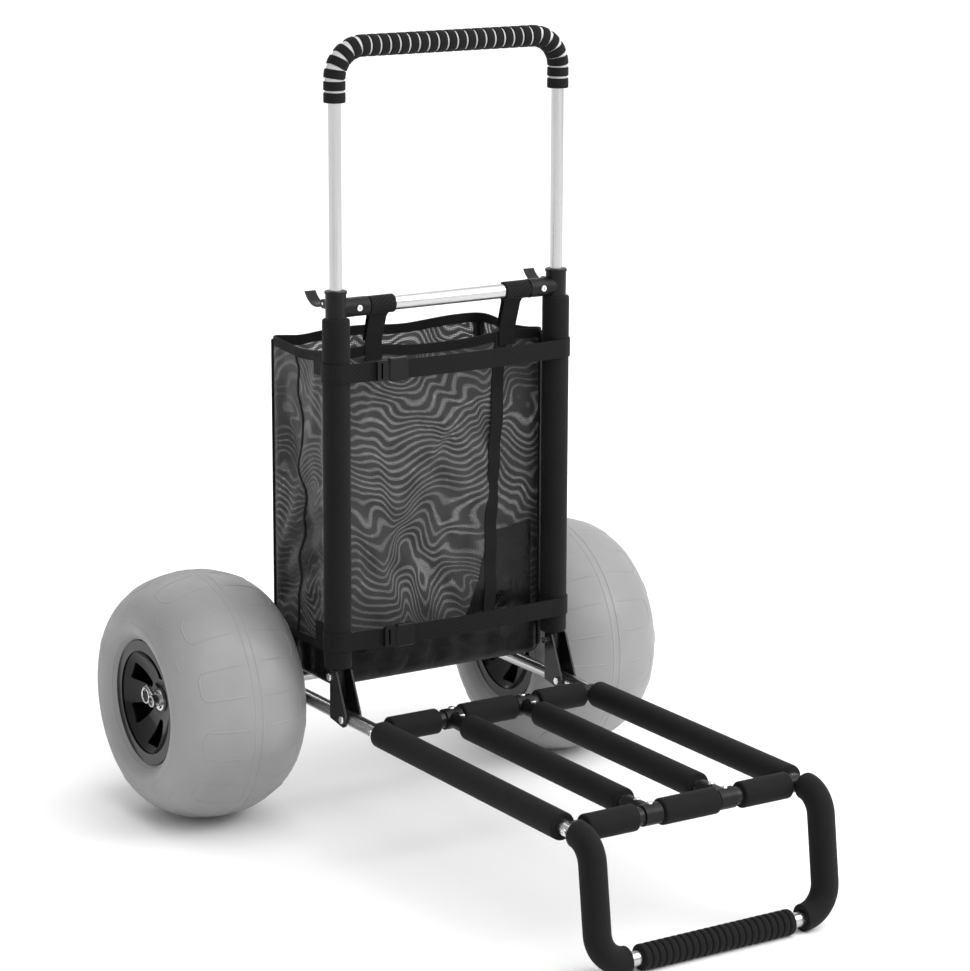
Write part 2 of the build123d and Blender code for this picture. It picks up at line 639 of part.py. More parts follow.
for name, side in sides.items():
    centre_x = side * rail_x
    with BuildPart() as collar:
        rod_z(collar_low_z, collar_top_z, centre_x, upright_y, collar_radius)
        rod_z(collar_top_z - collar_flange, collar_top_z, centre_x, upright_y, collar_flange_radius)
        fillet(faces().sort_by(Axis.Z)[-1].edges(), 1.0)
        rod_x(side * arm_end_x, centre_x, upright_y, upper_bar_height, arm_radius)
        ear_gap = lever_width / 2 + body_gap
        for ear_x in (centre_x - ear_gap - ear_thickness, centre_x + ear_gap):
            with BuildSketch(Plane.YZ.offset(ear_x)):
                with Locations((lever_y, lever_pivot_z)):
                    Circle(ear_radius)
                with Locations(((lever_y + upright_y) / 2, lever_pivot_z)):
                    Rectangle(lever_pivot_setback, 2 * ear_radius)
            extrude(amount=ear_thickness)
        rod_z(collar_low_z - 1, upright_top_z + fit_gap, centre_x, upright_y, tube_radius + fit_gap,
              Mode.SUBTRACT)
        rod_z(collar_low_z - 1, collar_top_z + 1, centre_x, upright_y, handle_radius + slide_clearance,
              Mode.SUBTRACT)
        rod_x(side * (arm_end_x - 1), side * upper_bar_end, upright_y, upper_bar_height,
              tube_radius + fit_gap, Mode.SUBTRACT)
        rod_x(centre_x - 3 * lever_width, centre_x + 3 * lever_width, lever_y, lever_pivot_z,
              lever_pin_radius + fit_gap, Mode.SUBTRACT)
        rod_y(upright_y - 2 * arm_radius, upright_y, side * collar_rivet_x, upper_bar_height,
              rivet_radius + fit_gap, Mode.SUBTRACT)
    save(collar, f"{name}_collar")

with BuildPart() as upper_bar:
    rod_x(-upper_bar_end, upper_bar_end, upright_y, upper_bar_height, tube_radius)
    rod_x(-upper_bar_end, upper_bar_end, upright_y, upper_bar_height, tube_radius - tube_wall, Mode.SUBTRACT)
    for side in sides.values():
        rod_y(upright_y - 2 * arm_radius, upright_y, side * collar_rivet_x, upper_bar_height,
              rivet_radius + fit_gap, Mode.SUBTRACT)
save(upper_bar, "upper_bar")

# tubular rivets through the collars' arms
collar_rivet_parts = []
for side in sides.values():
    with BuildPart() as collar_rivet:
        face_y = upright_y - arm_radius
        x = side * collar_rivet_x
        rod_y(face_y - rivet_head_height, face_y, x, upper_bar_height, rivet_head_radius)
        fillet(edges().filter_by(GeomType.CIRCLE).sort_by(Axis.Y)[0], rivet_head_height * 0.6)
        rod_y(face_y, upright_y - tube_radius + 2 * tube_wall, x, upper_bar_height, rivet_radius)
        rod_y(face_y - 2 * rivet_head_height, face_y, x, upper_bar_height, rivet_radius * 0.6, Mode.SUBTRACT)
    collar_rivet_parts.append(collar_rivet.part)
with BuildPart() as collar_rivets:
    add(collar_rivet_parts)
save(collar_rivets, "collar_rivets")

# clamp levers: a cam eye with a curved thumb wing that stands out behind
wing_reach = 48.0
wing_rise = 9.0
wing_sag = 7.0
wing_thickness = 3.2
wing_width = 15.0
cam_radius = 5.5
lever_pin_parts = []
for name, side in sides.items():
    centre_x = side * rail_x
    with BuildPart() as lever:
        rod_x(centre_x - lever_width / 2, centre_x + lever_width / 2, lever_y, lever_pivot_z, cam_radius)
        wing_from = lever_y + cam_radius
        with BuildSketch(Plane.YZ.offset(centre_x - wing_width / 2)):
            with BuildLine():
                low = ThreePointArc((wing_from + 2.5, lever_pivot_z - cam_radius + 0.5),
                                    (lever_y + wing_reach / 2, lever_pivot_z - wing_sag),
                                    (lever_y + wing_reach, lever_pivot_z + wing_rise))
                high = ThreePointArc((wing_from + 2.5, lever_pivot_z - cam_radius + 0.5 + wing_thickness),
                                     (lever_y + wing_reach / 2 - 1,
                                      lever_pivot_z - wing_sag + wing_thickness),
                                     (lever_y + wing_reach - wing_thickness, lever_pivot_z + wing_rise + 0.5))
                Line(low @ 0, high @ 0)
                Line(low @ 1, high @ 1)
            make_face()
        extrude(amount=wing_width)
        with BuildSketch(Plane.YZ.offset(centre_x - lever_width / 2)):
            with Locations((lever_y + cam_radius, lever_pivot_z - cam_radius / 2)):
                Rectangle(2 * cam_radius, cam_radius)
        extrude(amount=lever_width)
        rod_x(centre_x - wing_width, centre_x + wing_width, lever_y, lever_pivot_z,
              lever_pin_radius + running_clearance, Mode.SUBTRACT)
    save(lever, f"{name}_clamp_lever")
    with BuildPart() as lever_pin:
        pin_half = lever_width / 2 + body_gap + ear_thickness
        rod_x(centre_x - pin_half, centre_x + pin_half, lever_y, lever_pivot_z, lever_pin_radius)
    lever_pin_parts.append(lever_pin.part)
with BuildPart() as lever_pins:
    add(lever_pin_parts)
save(lever_pins, "lever_pins")

with BuildPart() as upright_foams:
    foam_low_z = bracket_top_z + 1
    for side in sides.values():
        rod_z(foam_low_z, collar_low_z, side * rail_x, upright_y, upright_foam_radius)
    fillet(edges().filter_by(GeomType.CIRCLE), foam_round)
    for side in sides.values():
        rod_z(foam_low_z, collar_low_z, side * rail_x, upright_y, tube_radius + fit_gap, Mode.SUBTRACT)
save(upright_foams, "upright_foams")

# ================================================================ pull handle
handle_bend = 40.0
grip_low_z = handle_height - 69.0
handle_low_z = upper_bolt_z + bolt_radius + handle_travel + 8.0
with BuildPart() as handle_tube:
    bent_tube(
        [(-rail_x, upright_y, handle_low_z), (-rail_x, upright_y, handle_height),
         (rail_x, upright_y, handle_height), (rail_x, upright_y, handle_low_z)],
        [handle_bend, handle_bend], handle_radius, handle_radius - tube_wall)
save(handle_tube, "handle_tube")

with BuildPart() as handle_grip:
    bent_tube(
        [(-rail_x, upright_y, grip_low_z), (-rail_x, upright_y, handle_height),
         (rail_x, upright_y, handle_height), (rail_x, upright_y, grip_low_z)],
        [handle_bend, handle_bend], handle_grip_radius, handle_radius + fit_gap)
save(handle_grip, "handle_grip")

# ================================================================ bag, tabs, straps and buckles
bag_half = rail_x - 2.5
bag_depth = 163.0
bag_low_z = rail_z + 27.0
bag_top_z = upper_bar_height - 54.0
panel = 2.0
bag_front_y = upright_y + upright_foam_radius + 2.0
bag_back_y = bag_front_y + bag_depth


def plate(x_from, x_to, y_from, y_to, z_from, z_to):
    """Rectangular sheet between the given limits, inside the part being built."""
    with BuildSketch(Plane.XY.offset(z_from)) as sheet:
        with Locations(((x_from + x_to) / 2, (y_from + y_to) / 2)):
            Rectangle(x_to - x_from, y_to - y_from)
    extrude(sheet.sketch, amount=z_to - z_from)


walls = {
    "bag_front": (-bag_half, bag_half, bag_front_y, bag_front_y + panel),
    "bag_back": (-bag_half, bag_half, bag_back_y - panel, bag_back_y),
    "bag_left_side": (-bag_half, -bag_half + panel, bag_front_y + panel, bag_back_y - panel),
    "bag_right_side": (bag_half - panel, bag_half, bag_front_y + panel, bag_back_y - panel),
}
for name, limits in walls.items():
    with BuildPart() as bag_wall:
        plate(*limits, bag_low_z + panel, bag_top_z)
    save(bag_wall, name)
with BuildPart() as bag_floor:
    plate(-bag_half, bag_half, bag_front_y, bag_back_y, bag_low_z, bag_low_z + panel)
save(bag_floor, "bag_floor")

# tabs: loops of tape over the upper bar, stitched to the bag's front edge
tab_x = arm_end_x - 20.5
tab_width = 37.0
tape = 1.5
tab_parts = []
for side in sides.values():
    with BuildPart() as tab:
        with BuildSketch(Plane.YZ.offset(side * tab_x - tab_width / 2)):
            with Locations((upright_y, upper_bar_height)):
                Circle(tube_radius + fit_gap + tape)
            with BuildLine():
                outer = tube_radius + fit_gap + tape
                Polyline((upright_y + outer, upper_bar_height),
                         (upright_y + outer - tape, upper_bar_height - outer),
                         (bag_front_y, bag_top_z), (bag_front_y + tape, bag_top_z), close=True)
            make_face()
            with Locations((upright_y, upper_bar_height)):
                Circle(tube_radius + fit_gap, mode=Mode.SUBTRACT)
        extrude(amount=tab_width)
    tab_parts.append(tab.part)
with BuildPart() as bag_tabs:
    add(tab_parts)
save(bag_tabs, "bag_tabs")

# straps: bands of webbing round the front of both uprights and back to the bag's sides
webbing_width = 25.0
webbing = 1.5
strap_heights = {"upper": upper_bar_height - 82.0, "lower": rail_z + 99.0}
strap_tail = 40.0
for name, strap_z in strap_heights.items():
    with BuildPart() as strap:
        with BuildSketch(Plane.XY.offset(strap_z - webbing_width / 2)):
            inner = upright_foam_radius + body_gap
            outer = inner + webbing
            for radius, mode in ((outer, Mode.ADD), (inner, Mode.SUBTRACT)):
                with Locations((-rail_x, upright_y), (rail_x, upright_y)):
                    Circle(radius, mode=mode)
                with Locations((0, upright_y)):
                    Rectangle(rail_spacing, 2 * radius, mode=mode)
            # open at the back between the uprights, where the tails run on to the bag's sides
            with Locations((0, upright_y + outer)):
                Rectangle(rail_spacing, 2 * outer, mode=Mode.SUBTRACT)
            for side in sides.values():
                tip = side * (bag_half + fit_gap)
                with BuildLine():
                    Polyline((side * rail_x, upright_y + inner), (side * rail_x, upright_y + outer),
                             (tip + side * webbing, bag_front_y + 2),
                             (tip + side * webbing, bag_front_y + strap_tail),
                             (tip, bag_front_y + strap_tail), (tip, upright_y + inner), close=True)
                make_face()
        extrude(amount=webbing_width)
    save(strap, f"{name}_strap")

# side-release buckles, socket and tongue, on the front of each strap
buckle_height = 30.0
buckle_thickness = 6.8
socket_length = 28.0
tongue_length = 17.0
buckle_places = {"upper": 69.5 - rail_x, "lower": 79.5 - rail_x}
buckle_face_y = upright_y - upright_foam_radius - body_gap - webbing
for name, buckle_x in buckle_places.items():
    buckle_z = strap_heights[name]
    socket_from = buckle_x + (tongue_length - socket_length) / 2
    with BuildPart() as socket:
        with BuildSketch(Plane.XZ.offset(-buckle_face_y)):
            with Locations((socket_from + socket_length / 2, buckle_z)):
                RectangleRounded(socket_length, buckle_height, 4.0)
        extrude(amount=buckle_thickness)
        chamfer(faces().sort_by(Axis.Y)[0].edges(), 1.2)
    with BuildPart() as tongue:
        with BuildSketch(Plane.XZ.offset(-buckle_face_y)):
            with Locations((socket_from - fit_gap - tongue_length / 2, buckle_z)):
                RectangleRounded(tongue_length, buckle_height - 3, 3.0)
            with Locations((socket_from - tongue_length * 0.62, buckle_z)):
                SlotOverall(webbing_width - 4, 3.0, rotation=90, mode=Mode.SUBTRACT)
        extrude(amount=buckle_thickness * 0.75)
    with BuildPart() as buckle:
        add([socket.part, tongue.part])
    save(buckle, f"{name}_buckle")
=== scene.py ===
from math import asin, ceil, cos, exp, hypot, pi, radians, sin, sqrt, tau

import bpy
from mathutils import Matrix, Vector, noise


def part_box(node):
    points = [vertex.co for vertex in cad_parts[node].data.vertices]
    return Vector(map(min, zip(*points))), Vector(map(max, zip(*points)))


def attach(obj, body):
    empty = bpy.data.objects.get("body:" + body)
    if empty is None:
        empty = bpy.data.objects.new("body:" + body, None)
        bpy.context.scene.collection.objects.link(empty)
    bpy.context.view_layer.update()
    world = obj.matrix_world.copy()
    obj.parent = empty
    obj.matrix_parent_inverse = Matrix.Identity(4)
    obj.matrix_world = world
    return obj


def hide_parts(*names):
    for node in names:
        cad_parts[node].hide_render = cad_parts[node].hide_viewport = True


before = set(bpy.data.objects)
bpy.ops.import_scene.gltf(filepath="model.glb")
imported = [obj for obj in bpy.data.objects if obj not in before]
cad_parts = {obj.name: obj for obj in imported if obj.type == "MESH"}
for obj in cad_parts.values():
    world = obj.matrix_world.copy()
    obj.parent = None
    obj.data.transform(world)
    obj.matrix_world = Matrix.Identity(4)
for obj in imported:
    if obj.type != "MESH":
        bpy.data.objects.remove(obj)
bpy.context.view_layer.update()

# Metres, in the CAD's own frame: +Z up, the foot loop towards -Y, the wheels and bag towards +Y.


# ================================================================ places read from the frame
def low(node):
    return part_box(node)[0]


def high(node):
    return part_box(node)[1]


def middle(node):
    return (low(node) + high(node)) / 2


def size(node):
    return high(node) - low(node)


sides = {"left": -1, "right": 1}
axle_place = middle("axle")
upright_place = middle("right_upright")
rail_x = upright_place.x
upright_y = upright_place.y
rail_z = axle_place.z
tube_radius = size("right_upright").x / 2
foot_place = middle("foot_grip")


# ================================================================ materials
class Look:
    """A node material, with short calls that add and join its nodes."""

    def __init__(self, name, roughness=0.5, metallic=0.0, colour=None):
        self.material = bpy.data.materials.new(name)
        self.material.use_nodes = True
        self.tree = self.material.node_tree
        self.shader = self.tree.nodes["Principled BSDF"]
        self.shader.inputs["Roughness"].default_value = roughness
        self.shader.inputs["Metallic"].default_value = metallic
        if colour is not None:
            self.shader.inputs["Base Color"].default_value = (*colour, 1)
        self.where = self.node("ShaderNodeTexCoord").outputs["Object"]

    def node(self, kind, **settings):
        made = self.tree.nodes.new(kind)
        for key, value in settings.items():
            setattr(made, key, value)
        return made

    def join(self, source, socket):
        self.tree.links.new(source, socket)

    def stretched(self, scale, source=None):
        """Coordinates multiplied by scale along X, Y and Z."""
        mapping = self.node("ShaderNodeMapping")
        mapping.inputs["Scale"].default_value = scale
        self.join(source or self.where, mapping.inputs["Vector"])
        return mapping.outputs["Vector"]

    def noise(self, scale, detail=2.0, source=None, distortion=0.0):
        made = self.node("ShaderNodeTexNoise")
        made.inputs["Scale"].default_value = scale
        made.inputs["Detail"].default_value = detail
        made.inputs["Distortion"].default_value = distortion
        self.join(source or self.where, made.inputs["Vector"])
        return made.outputs["Fac"]

    def cells(self, scale, source=None):
        made = self.node("ShaderNodeTexVoronoi")
        made.inputs["Scale"].default_value = scale
        self.join(source or self.where, made.inputs["Vector"])
        return made.outputs["Distance"]

    def waves(self, scale, direction="X", source=None, distortion=0.0):
        made = self.node("ShaderNodeTexWave", bands_direction=direction)
        made.inputs["Scale"].default_value = scale
        made.inputs["Distortion"].default_value = distortion
        made.inputs["Detail"].default_value = 1.0
        self.join(source or self.where, made.inputs["Vector"])
        return made.outputs["Fac"]

    def fit(self, source, low_in, high_in, low_out, high_out):
        made = self.node("ShaderNodeMapRange")
        for key, value in (("From Min", low_in), ("From Max", high_in),
                           ("To Min", low_out), ("To Max", high_out)):
            made.inputs[key].default_value = value
        self.join(source, made.inputs["Value"])
        return made.outputs["Result"]

    def math(self, operation, first, second):
        made = self.node("ShaderNodeMath", operation=operation)
        for index, value in enumerate((first, second)):
            if isinstance(value, (int, float)):
                made.inputs[index].default_value = value
            else:
                self.join(value, made.inputs[index])
        return made.outputs["Value"]

    def colours(self, source, first, second, low_in=0.35, high_in=0.65):
        """Base colour that runs from first to second as source runs from low_in to high_in."""
        ramp = self.node("ShaderNodeValToRGB")
        ramp.color_ramp.elements[0].position = low_in
        ramp.color_ramp.elements[0].color = (*first, 1)
        ramp.color_ramp.elements[1].position = high_in
        ramp.color_ramp.elements[1].color = (*second, 1)
        self.join(source, ramp.inputs["Fac"])
        self.join(ramp.outputs["Color"], self.shader.inputs["Base Color"])
        return ramp.outputs["Color"]

    def roughness(self, source, low_out, high_out):
        self.join(self.fit(source, 0.3, 0.7, low_out, high_out), self.shader.inputs["Roughness"])

    def bump(self, *layers):
        """Bump from (source, strength, depth in metres) layers, one over the other."""
        below = None
        for source, strength, depth in layers:
            made = self.node("ShaderNodeBump")
            made.inputs["Strength"].default_value = strength
            made.inputs["Distance"].default_value = depth
            self.join(source, made.inputs["Height"])
            if below is not None:
                self.join(below, made.inputs["Normal"])
            below = made.outputs["Normal"]
        self.join(below, self.shader.inputs["Normal"])

    def lighter_edges(self, base, edge_colour, width=0.0012):
        """Base colour that turns lighter along the sharp edges, in noisy patches."""
        bevel = self.node("ShaderNodeBevel", samples=4)
        bevel.inputs["Radius"].default_value = width
        flat = self.node("ShaderNodeNewGeometry")
        dot = self.node("ShaderNodeVectorMath", operation="DOT_PRODUCT")
        self.join(bevel.outputs["Normal"], dot.inputs[0])
        self.join(flat.outputs["Normal"], dot.inputs[1])
        edge = self.fit(dot.outputs["Value"], 0.995, 0.8, 0.0, 1.0)
        edge_share = self.math("MULTIPLY", edge, self.fit(self.noise(220, 3), 0.35, 0.6, 0.2, 1.0))
        mix = self.node("ShaderNodeMix", data_type="RGBA")
        mix.inputs["A"].default_value = (*base, 1)
        mix.inputs["B"].default_value = (*edge_colour, 1)
        self.join(edge_share, mix.inputs["Factor"])
        self.join(mix.outputs["Result"], self.shader.inputs["Base Color"])


def grey(value, blue=0.0):
    return (value, value, value * (1 + blue))


def aluminium_look(name, stretch):
    """Drawn aluminium: fine streaks along the tube, from a noise stretched by the given scales."""
    look = Look(name, metallic=1.0)
    streaks = look.noise(1.0, 4, look.stretched(stretch))
    clouds = look.noise(18, 3)
    look.colours(streaks, grey(0.46), grey(0.58, 0.01), 0.3, 0.7)
    mixed = look.math("ADD", look.math("MULTIPLY", streaks, 0.6), look.math("MULTIPLY", clouds, 0.4))
    look.roughness(mixed, 0.16, 0.34)
    look.bump((streaks, 0.12, 0.00015), (look.noise(900, 2), 0.05, 0.00005))
    return look.material


def zinc_look():
    look = Look("zinc_plated_steel", metallic=1.0)
    patches = look.noise(420, 4)
    look.colours(patches, grey(0.62), grey(0.85, 0.02), 0.3, 0.7)
    look.roughness(patches, 0.14, 0.36)
    look.bump((look.noise(1500, 2), 0.1, 0.00005))
    return look.material


def painted_look():
    look = Look("black_powder_coat", roughness=0.36)
    look.shader.inputs["Specular IOR Level"].default_value = 0.25
    # the black coat's colour turns lighter along its sharp edges
    look.lighter_edges(grey(0.008, 0.03), grey(0.07))
    look.roughness(look.noise(60, 3), 0.28, 0.42)
    look.bump((look.noise(1100, 2), 0.16, 0.00012))
    return look.material


def foam_look(name, dark, light, sheen=0.25):
    """Closed-cell foam: fine pores, a soft skin and faint mottling."""
    look = Look(name)
    mottle = look.noise(26, 4)
    look.colours(mottle, dark, light)
    look.roughness(mottle, 0.72, 0.9)
    look.shader.inputs["Sheen Weight"].default_value = sheen
    look.shader.inputs["Sheen Roughness"].default_value = 0.5
    look.shader.inputs["Specular IOR Level"].default_value = 0.16
    look.bump((look.noise(34, 3), 0.35, 0.0012), (look.cells(1300), 0.5, 0.00022),
              (look.noise(2600, 2), 0.3, 0.00012))
    return look.material


def plastic_look():
    look = Look("black_moulded_plastic", roughness=0.42)
    look.shader.inputs["Specular IOR Level"].default_value = 0.2
    # the black plastic's colour turns lighter along its sharp edges
    look.lighter_edges(grey(0.005, 0.02), grey(0.03), 0.0008)
    look.roughness(look.noise(90, 3), 0.36, 0.5)
    look.bump((look.noise(2200, 3), 0.22, 0.0001), (look.noise(60, 2), 0.1, 0.0004))
    return look.material


def gloss_look():
    look = Look("gloss_black_hub", roughness=0.14)
    look.shader.inputs["Specular IOR Level"].default_value = 0.22
    look.colours(look.noise(30, 3), grey(0.004), grey(0.007, 0.03))
    look.roughness(look.noise(45, 4), 0.1, 0.22)
    look.shader.inputs["Coat Weight"].default_value = 0.08
    look.shader.inputs["Coat Roughness"].default_value = 0.08
    look.bump((look.noise(70, 2), 0.06, 0.0006))
    return look.material


def tyre_look():
    look = Look("grey_balloon_tyre")
    clouds = look.noise(7, 5)
    look.colours(clouds, grey(0.235), grey(0.285))
    look.roughness(look.noise(40, 4), 0.42, 0.58)
    look.shader.inputs["Specular IOR Level"].default_value = 0.45
    look.shader.inputs["Subsurface Weight"].default_value = 0.04
    look.shader.inputs["Subsurface Radius"].default_value = (0.004, 0.004, 0.004)
    look.bump((look.noise(11, 3), 0.22, 0.003), (look.cells(900), 0.16, 0.0001),
              (look.noise(2400, 2), 0.12, 0.00006))
    return look.material


def nylon_look():
    look = Look("moulded_nylon", roughness=0.45)
    look.colours(look.noise(120, 3), grey(0.04), grey(0.06))
    look.roughness(look.noise(200, 3), 0.38, 0.52)
    look.bump((look.noise(1500, 3), 0.2, 0.0001))
    return look.material


def webbing_look(name, rib=0.0016):
    """Woven tape: ribs across it and a herringbone over them. UV is in metres."""
    look = Look(name)
    along = look.node("ShaderNodeTexCoord").outputs["UV"]
    ribs = look.waves(tau / rib / 20, "X", along)
    herring = look.waves(tau / (rib * 1.7) / 20, "DIAGONAL", along, 0.4)
    weave = look.math("ADD", look.math("MULTIPLY", ribs, 0.6), look.math("MULTIPLY", herring, 0.4))
    fuzz = look.noise(3000, 2)
    look.colours(look.math("ADD", look.math("MULTIPLY", weave, 0.7), look.math("MULTIPLY", fuzz, 0.3)),
                 grey(0.0035), grey(0.010, 0.02), 0.25, 0.8)
    look.roughness(weave, 0.88, 0.62)
    look.shader.inputs["Sheen Weight"].default_value = 0.02
    look.shader.inputs["Specular IOR Level"].default_value = 0.14
    look.bump((look.noise(45, 3), 0.3, 0.001), (weave, 0.7, 0.0004), (fuzz, 0.3, 0.0001))
    return look.material


def net_look(name, hole, tilt):
    """Knitted mesh: threads round open cells, its openness rising and falling in soft wavy bands, and painted
    light in its colour along the same bands.
    """
    look = Look(name)
    uv = look.node("ShaderNodeTexCoord").outputs["UV"]
    turned = look.node("ShaderNodeMapping")
    turned.inputs["Rotation"].default_value = (0, 0, tilt)
    look.join(uv, turned.inputs["Vector"])
    across = look.waves(tau / hole / 20, "X", turned.outputs["Vector"])
    down = look.waves(tau / hole / 20, "Y", turned.outputs["Vector"])
    cell = look.math("MULTIPLY", across, down)
    # two layers of mesh beat against each other: wavy bands about 11 mm apart, bent by the creases
    swirl = look.noise(8.0, 1.5, look.stretched((1.0, 1.0, 0.65)), 0.9)
    height = look.node("ShaderNodeSeparateXYZ")
    look.join(look.where, height.inputs["Vector"])
    phase = look.math("ADD", look.math("MULTIPLY", height.outputs["Z"], tau / 0.0115),
                      look.math("MULTIPLY", swirl, 120))
    ripples = look.fit(look.math("SINE", phase, 0), -0.5, 1, 0, 1)
    broad = look.noise(9, 2)
    openness = look.math("MULTIPLY", look.fit(ripples, 0, 1, 0.12, 1.0),
                         look.fit(broad, 0.34, 0.62, 0.3, 1.0))
    open_here = look.math("MULTIPLY", look.fit(cell, 0.18, 0.5, 0, 1), openness)
    look.join(look.fit(open_here, 0, 1, 1.0, 0.4), look.shader.inputs["Alpha"])
    # painted light: the black threads turn light grey along the moiré bands, standing in for light seen
    # through both layers
    painted_moire_light = look.math("ADD", look.math("MULTIPLY", ripples, 0.8), look.math("MULTIPLY", cell, 0.2))
    look.colours(look.math("MULTIPLY", painted_moire_light, look.fit(broad, 0.34, 0.62, 0.35, 1.0)),
                 grey(0.003), grey(0.16, 0.02), 0.2, 1.0)
    look.shader.inputs["Roughness"].default_value = 0.6
    look.shader.inputs["Sheen Weight"].default_value = 0.12
    look.bump((cell, 0.6, 0.0004))
    return look.material


def coated_look():
    look = Look("coated_nylon", roughness=0.3)
    look.shader.inputs["Specular IOR Level"].default_value = 0.2
    creases = look.noise(22, 5, None, 0.8)
    look.colours(creases, grey(0.003), grey(0.008, 0.03))
    look.roughness(creases, 0.24, 0.46)
    look.bump((look.noise(30, 4, None, 1.2), 0.55, 0.004), (look.noise(2200, 2), 0.25, 0.0001))
    return look.material


aluminium_x = aluminium_look("drawn_aluminium_x", (3, 420, 420))
aluminium_y = aluminium_look("drawn_aluminium_y", (420, 3, 420))
aluminium_z = aluminium_look("drawn_aluminium_z", (420, 420, 3))
zinc = zinc_look()
painted = painted_look()
foam = foam_look("black_foam", grey(0.0045), grey(0.0085, 0.02), 0.03)
core_foam = foam_look("grey_foam_core", grey(0.50), grey(0.58), 0.1)
plastic = plastic_look()
gloss = gloss_look()
tyre_rubber = tyre_look()
nylon = nylon_look()
webbing = webbing_look("black_webbing")
binding_tape = webbing_look("binding_tape", 0.0009)
net_front = net_look("knitted_mesh", 0.0024, 0.0)
net_back = net_look("knitted_mesh_back", 0.0025, 0.09)
coated = coated_look()

node_looks = {
    aluminium_x: ("axle", "upper_bar", "foot_loop_tube"),
    aluminium_y: ("left_side_rail", "right_side_rail", "left_mid_bar", "right_mid_bar",
                  "left_axle_socket", "right_axle_socket"),
    aluminium_z: ("handle_tube",),
    painted: ("rear_crossbar", "front_crossbar", "left_upright", "right_upright", "left_bracket",
              "right_bracket"),
    plastic: ("left_collar", "right_collar", "left_clamp_lever", "right_clamp_lever", "mid_bar_connectors",
              "crossbar_plugs", "upper_buckle", "lower_buckle"),
    gloss: ("left_hub", "right_hub"),
    nylon: ("left_hub_bushes", "right_hub_bushes"),
    zinc: ("pivot_bolts", "upper_bolts", "rail_screws", "connector_rivets", "collar_rivets", "lever_pins",
           "left_axle_pin", "right_axle_pin", "left_pin_ring", "right_pin_ring", "axle_spacers",
           "left_valve", "right_valve"),
}
for look, names in node_looks.items():
    for name in names:
        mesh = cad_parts[name].data
        mesh.materials.clear()
        mesh.materials.append(look)


# ================================================================ mesh building
def link(thing):
    bpy.context.scene.collection.objects.link(thing)


def make_piece(name, points, faces, look, body, uvs=None, sharp=35):
    """A mesh object that rides on a body. uvs holds one (u, v) for each corner of each face, in metres."""
    mesh = bpy.data.meshes.new(name)
    mesh.from_pydata([tuple(p) for p in points], [], faces)
    if uvs is not None:
        layer = mesh.uv_layers.new(name="UVMap")
        for loop, uv in zip(layer.data, uvs):
            loop.uv = uv
    mesh.materials.append(look)
    mesh.shade_smooth()
    mesh.set_sharp_from_angle(angle=radians(sharp))
    piece = bpy.data.objects.new(name, mesh)
    link(piece)
    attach(piece, body)
    return piece


class Shell:
    """Points, faces and UVs gathered for one piece."""

    def __init__(self):
        self.points, self.faces, self.uvs = [], [], []

    def grid(self, rows, closed_rows=False, closed_columns=False, us=None, vs=None):
        """Adds a grid of points as quads; us and vs are the lengths along the rows and columns."""
        start, count, width = len(self.points), len(rows), len(rows[0])
        for row in rows:
            self.points.extend(row)
        us = us or [0.001 * i for i in range(count + 1)]
        vs = vs or [0.001 * j for j in range(width + 1)]
        for i in range(count if closed_rows else count - 1):
            for j in range(width if closed_columns else width - 1):
                i2, j2 = (i + 1) % count, (j + 1) % width
                self.faces.append((start + i * width + j, start + i2 * width + j,
                                   start + i2 * width + j2, start + i * width + j2))
                u2 = us[i + 1] if i + 1 < len(us) else us[i] + 0.001
                v2 = vs[j + 1] if j + 1 < len(vs) else vs[j] + 0.001
                self.uvs.extend([(us[i], vs[j]), (u2, vs[j]), (u2, v2), (us[i], v2)])

    def cap(self, ring_start, count, flip=False):
        loop = list(range(ring_start, ring_start + count))
        self.faces.append(tuple(reversed(loop)) if flip else tuple(loop))
        self.uvs.extend([(0.0, 0.0)] * count)

    def piece(self, name, look, body, slot, sharp=35):
        return make_piece(name, self.points, self.faces, look, body, self.uvs, sharp)


class Route:
    """Straight runs joined by arcs, all in one plane with the given normal."""

    def __init__(self, corners, radii=(), normal=(0, 1, 0)):
        corners = [Vector(c) for c in corners]
        self.normal = Vector(normal).normalized()
        self.runs = []
        here = corners[0]
        for k, radius in enumerate(radii):
            before = (corners[k + 1] - corners[k]).normalized()
            after = (corners[k + 2] - corners[k + 1]).normalized()
            turn = before.angle(after)
            cut = radius * sin(turn / 2) / cos(turn / 2)
            arc_start = corners[k + 1] - before * cut
            self.runs.append((here, before, (arc_start - here).length, None, 0.0))
            inward = (after - before).normalized()
            centre = corners[k + 1] + inward * (radius / cos(turn / 2))
            axis = before.cross(after).normalized()
            self.runs.append((arc_start, before, radius * turn, (centre, axis), radius))
            here = corners[k + 1] + after * cut
        last = corners[-1] - here
        self.runs.append((here, last.normalized(), last.length, None, 0.0))
        self.length = sum(run[2] for run in self.runs)

    def at(self, s):
        """Point, direction and curvature vector at the length s."""
        for place, heading, length, arc, radius in self.runs:
            if s <= length or (place, heading) == self.runs[-1][:2]:
                break
            s -= length
        if arc is None:
            return place + heading * s, heading.copy(), Vector()
        centre, axis = arc
        turn = Matrix.Rotation(s / radius, 3, axis)
        point = centre + turn @ (place - centre)
        return point, turn @ heading, (centre - point) / radius ** 2

    def spoke(self, s, angle):
        """The point at the length s, and the way out from it at an angle round the route."""
        point, heading, _ = self.at(s)
        across = heading.cross(self.normal).normalized()
        return point, self.normal * cos(angle) + across * sin(angle)

    def ring(self, s, radius, sides):
        spokes = [self.spoke(s, tau * k / sides) for k in range(sides)]
        return [point + outward * radius for point, outward in spokes]

    def stations(self, step_straight, step_arc):
        """Lengths along the route, close together on its arcs."""
        found, s = [0.0], 0.0
        for _, _, length, arc, _ in self.runs:
            steps = max(1, ceil(length / (step_arc if arc else step_straight)))
            found.extend(s + length * (k + 1) / steps for k in range(steps))
            s += length
        return found


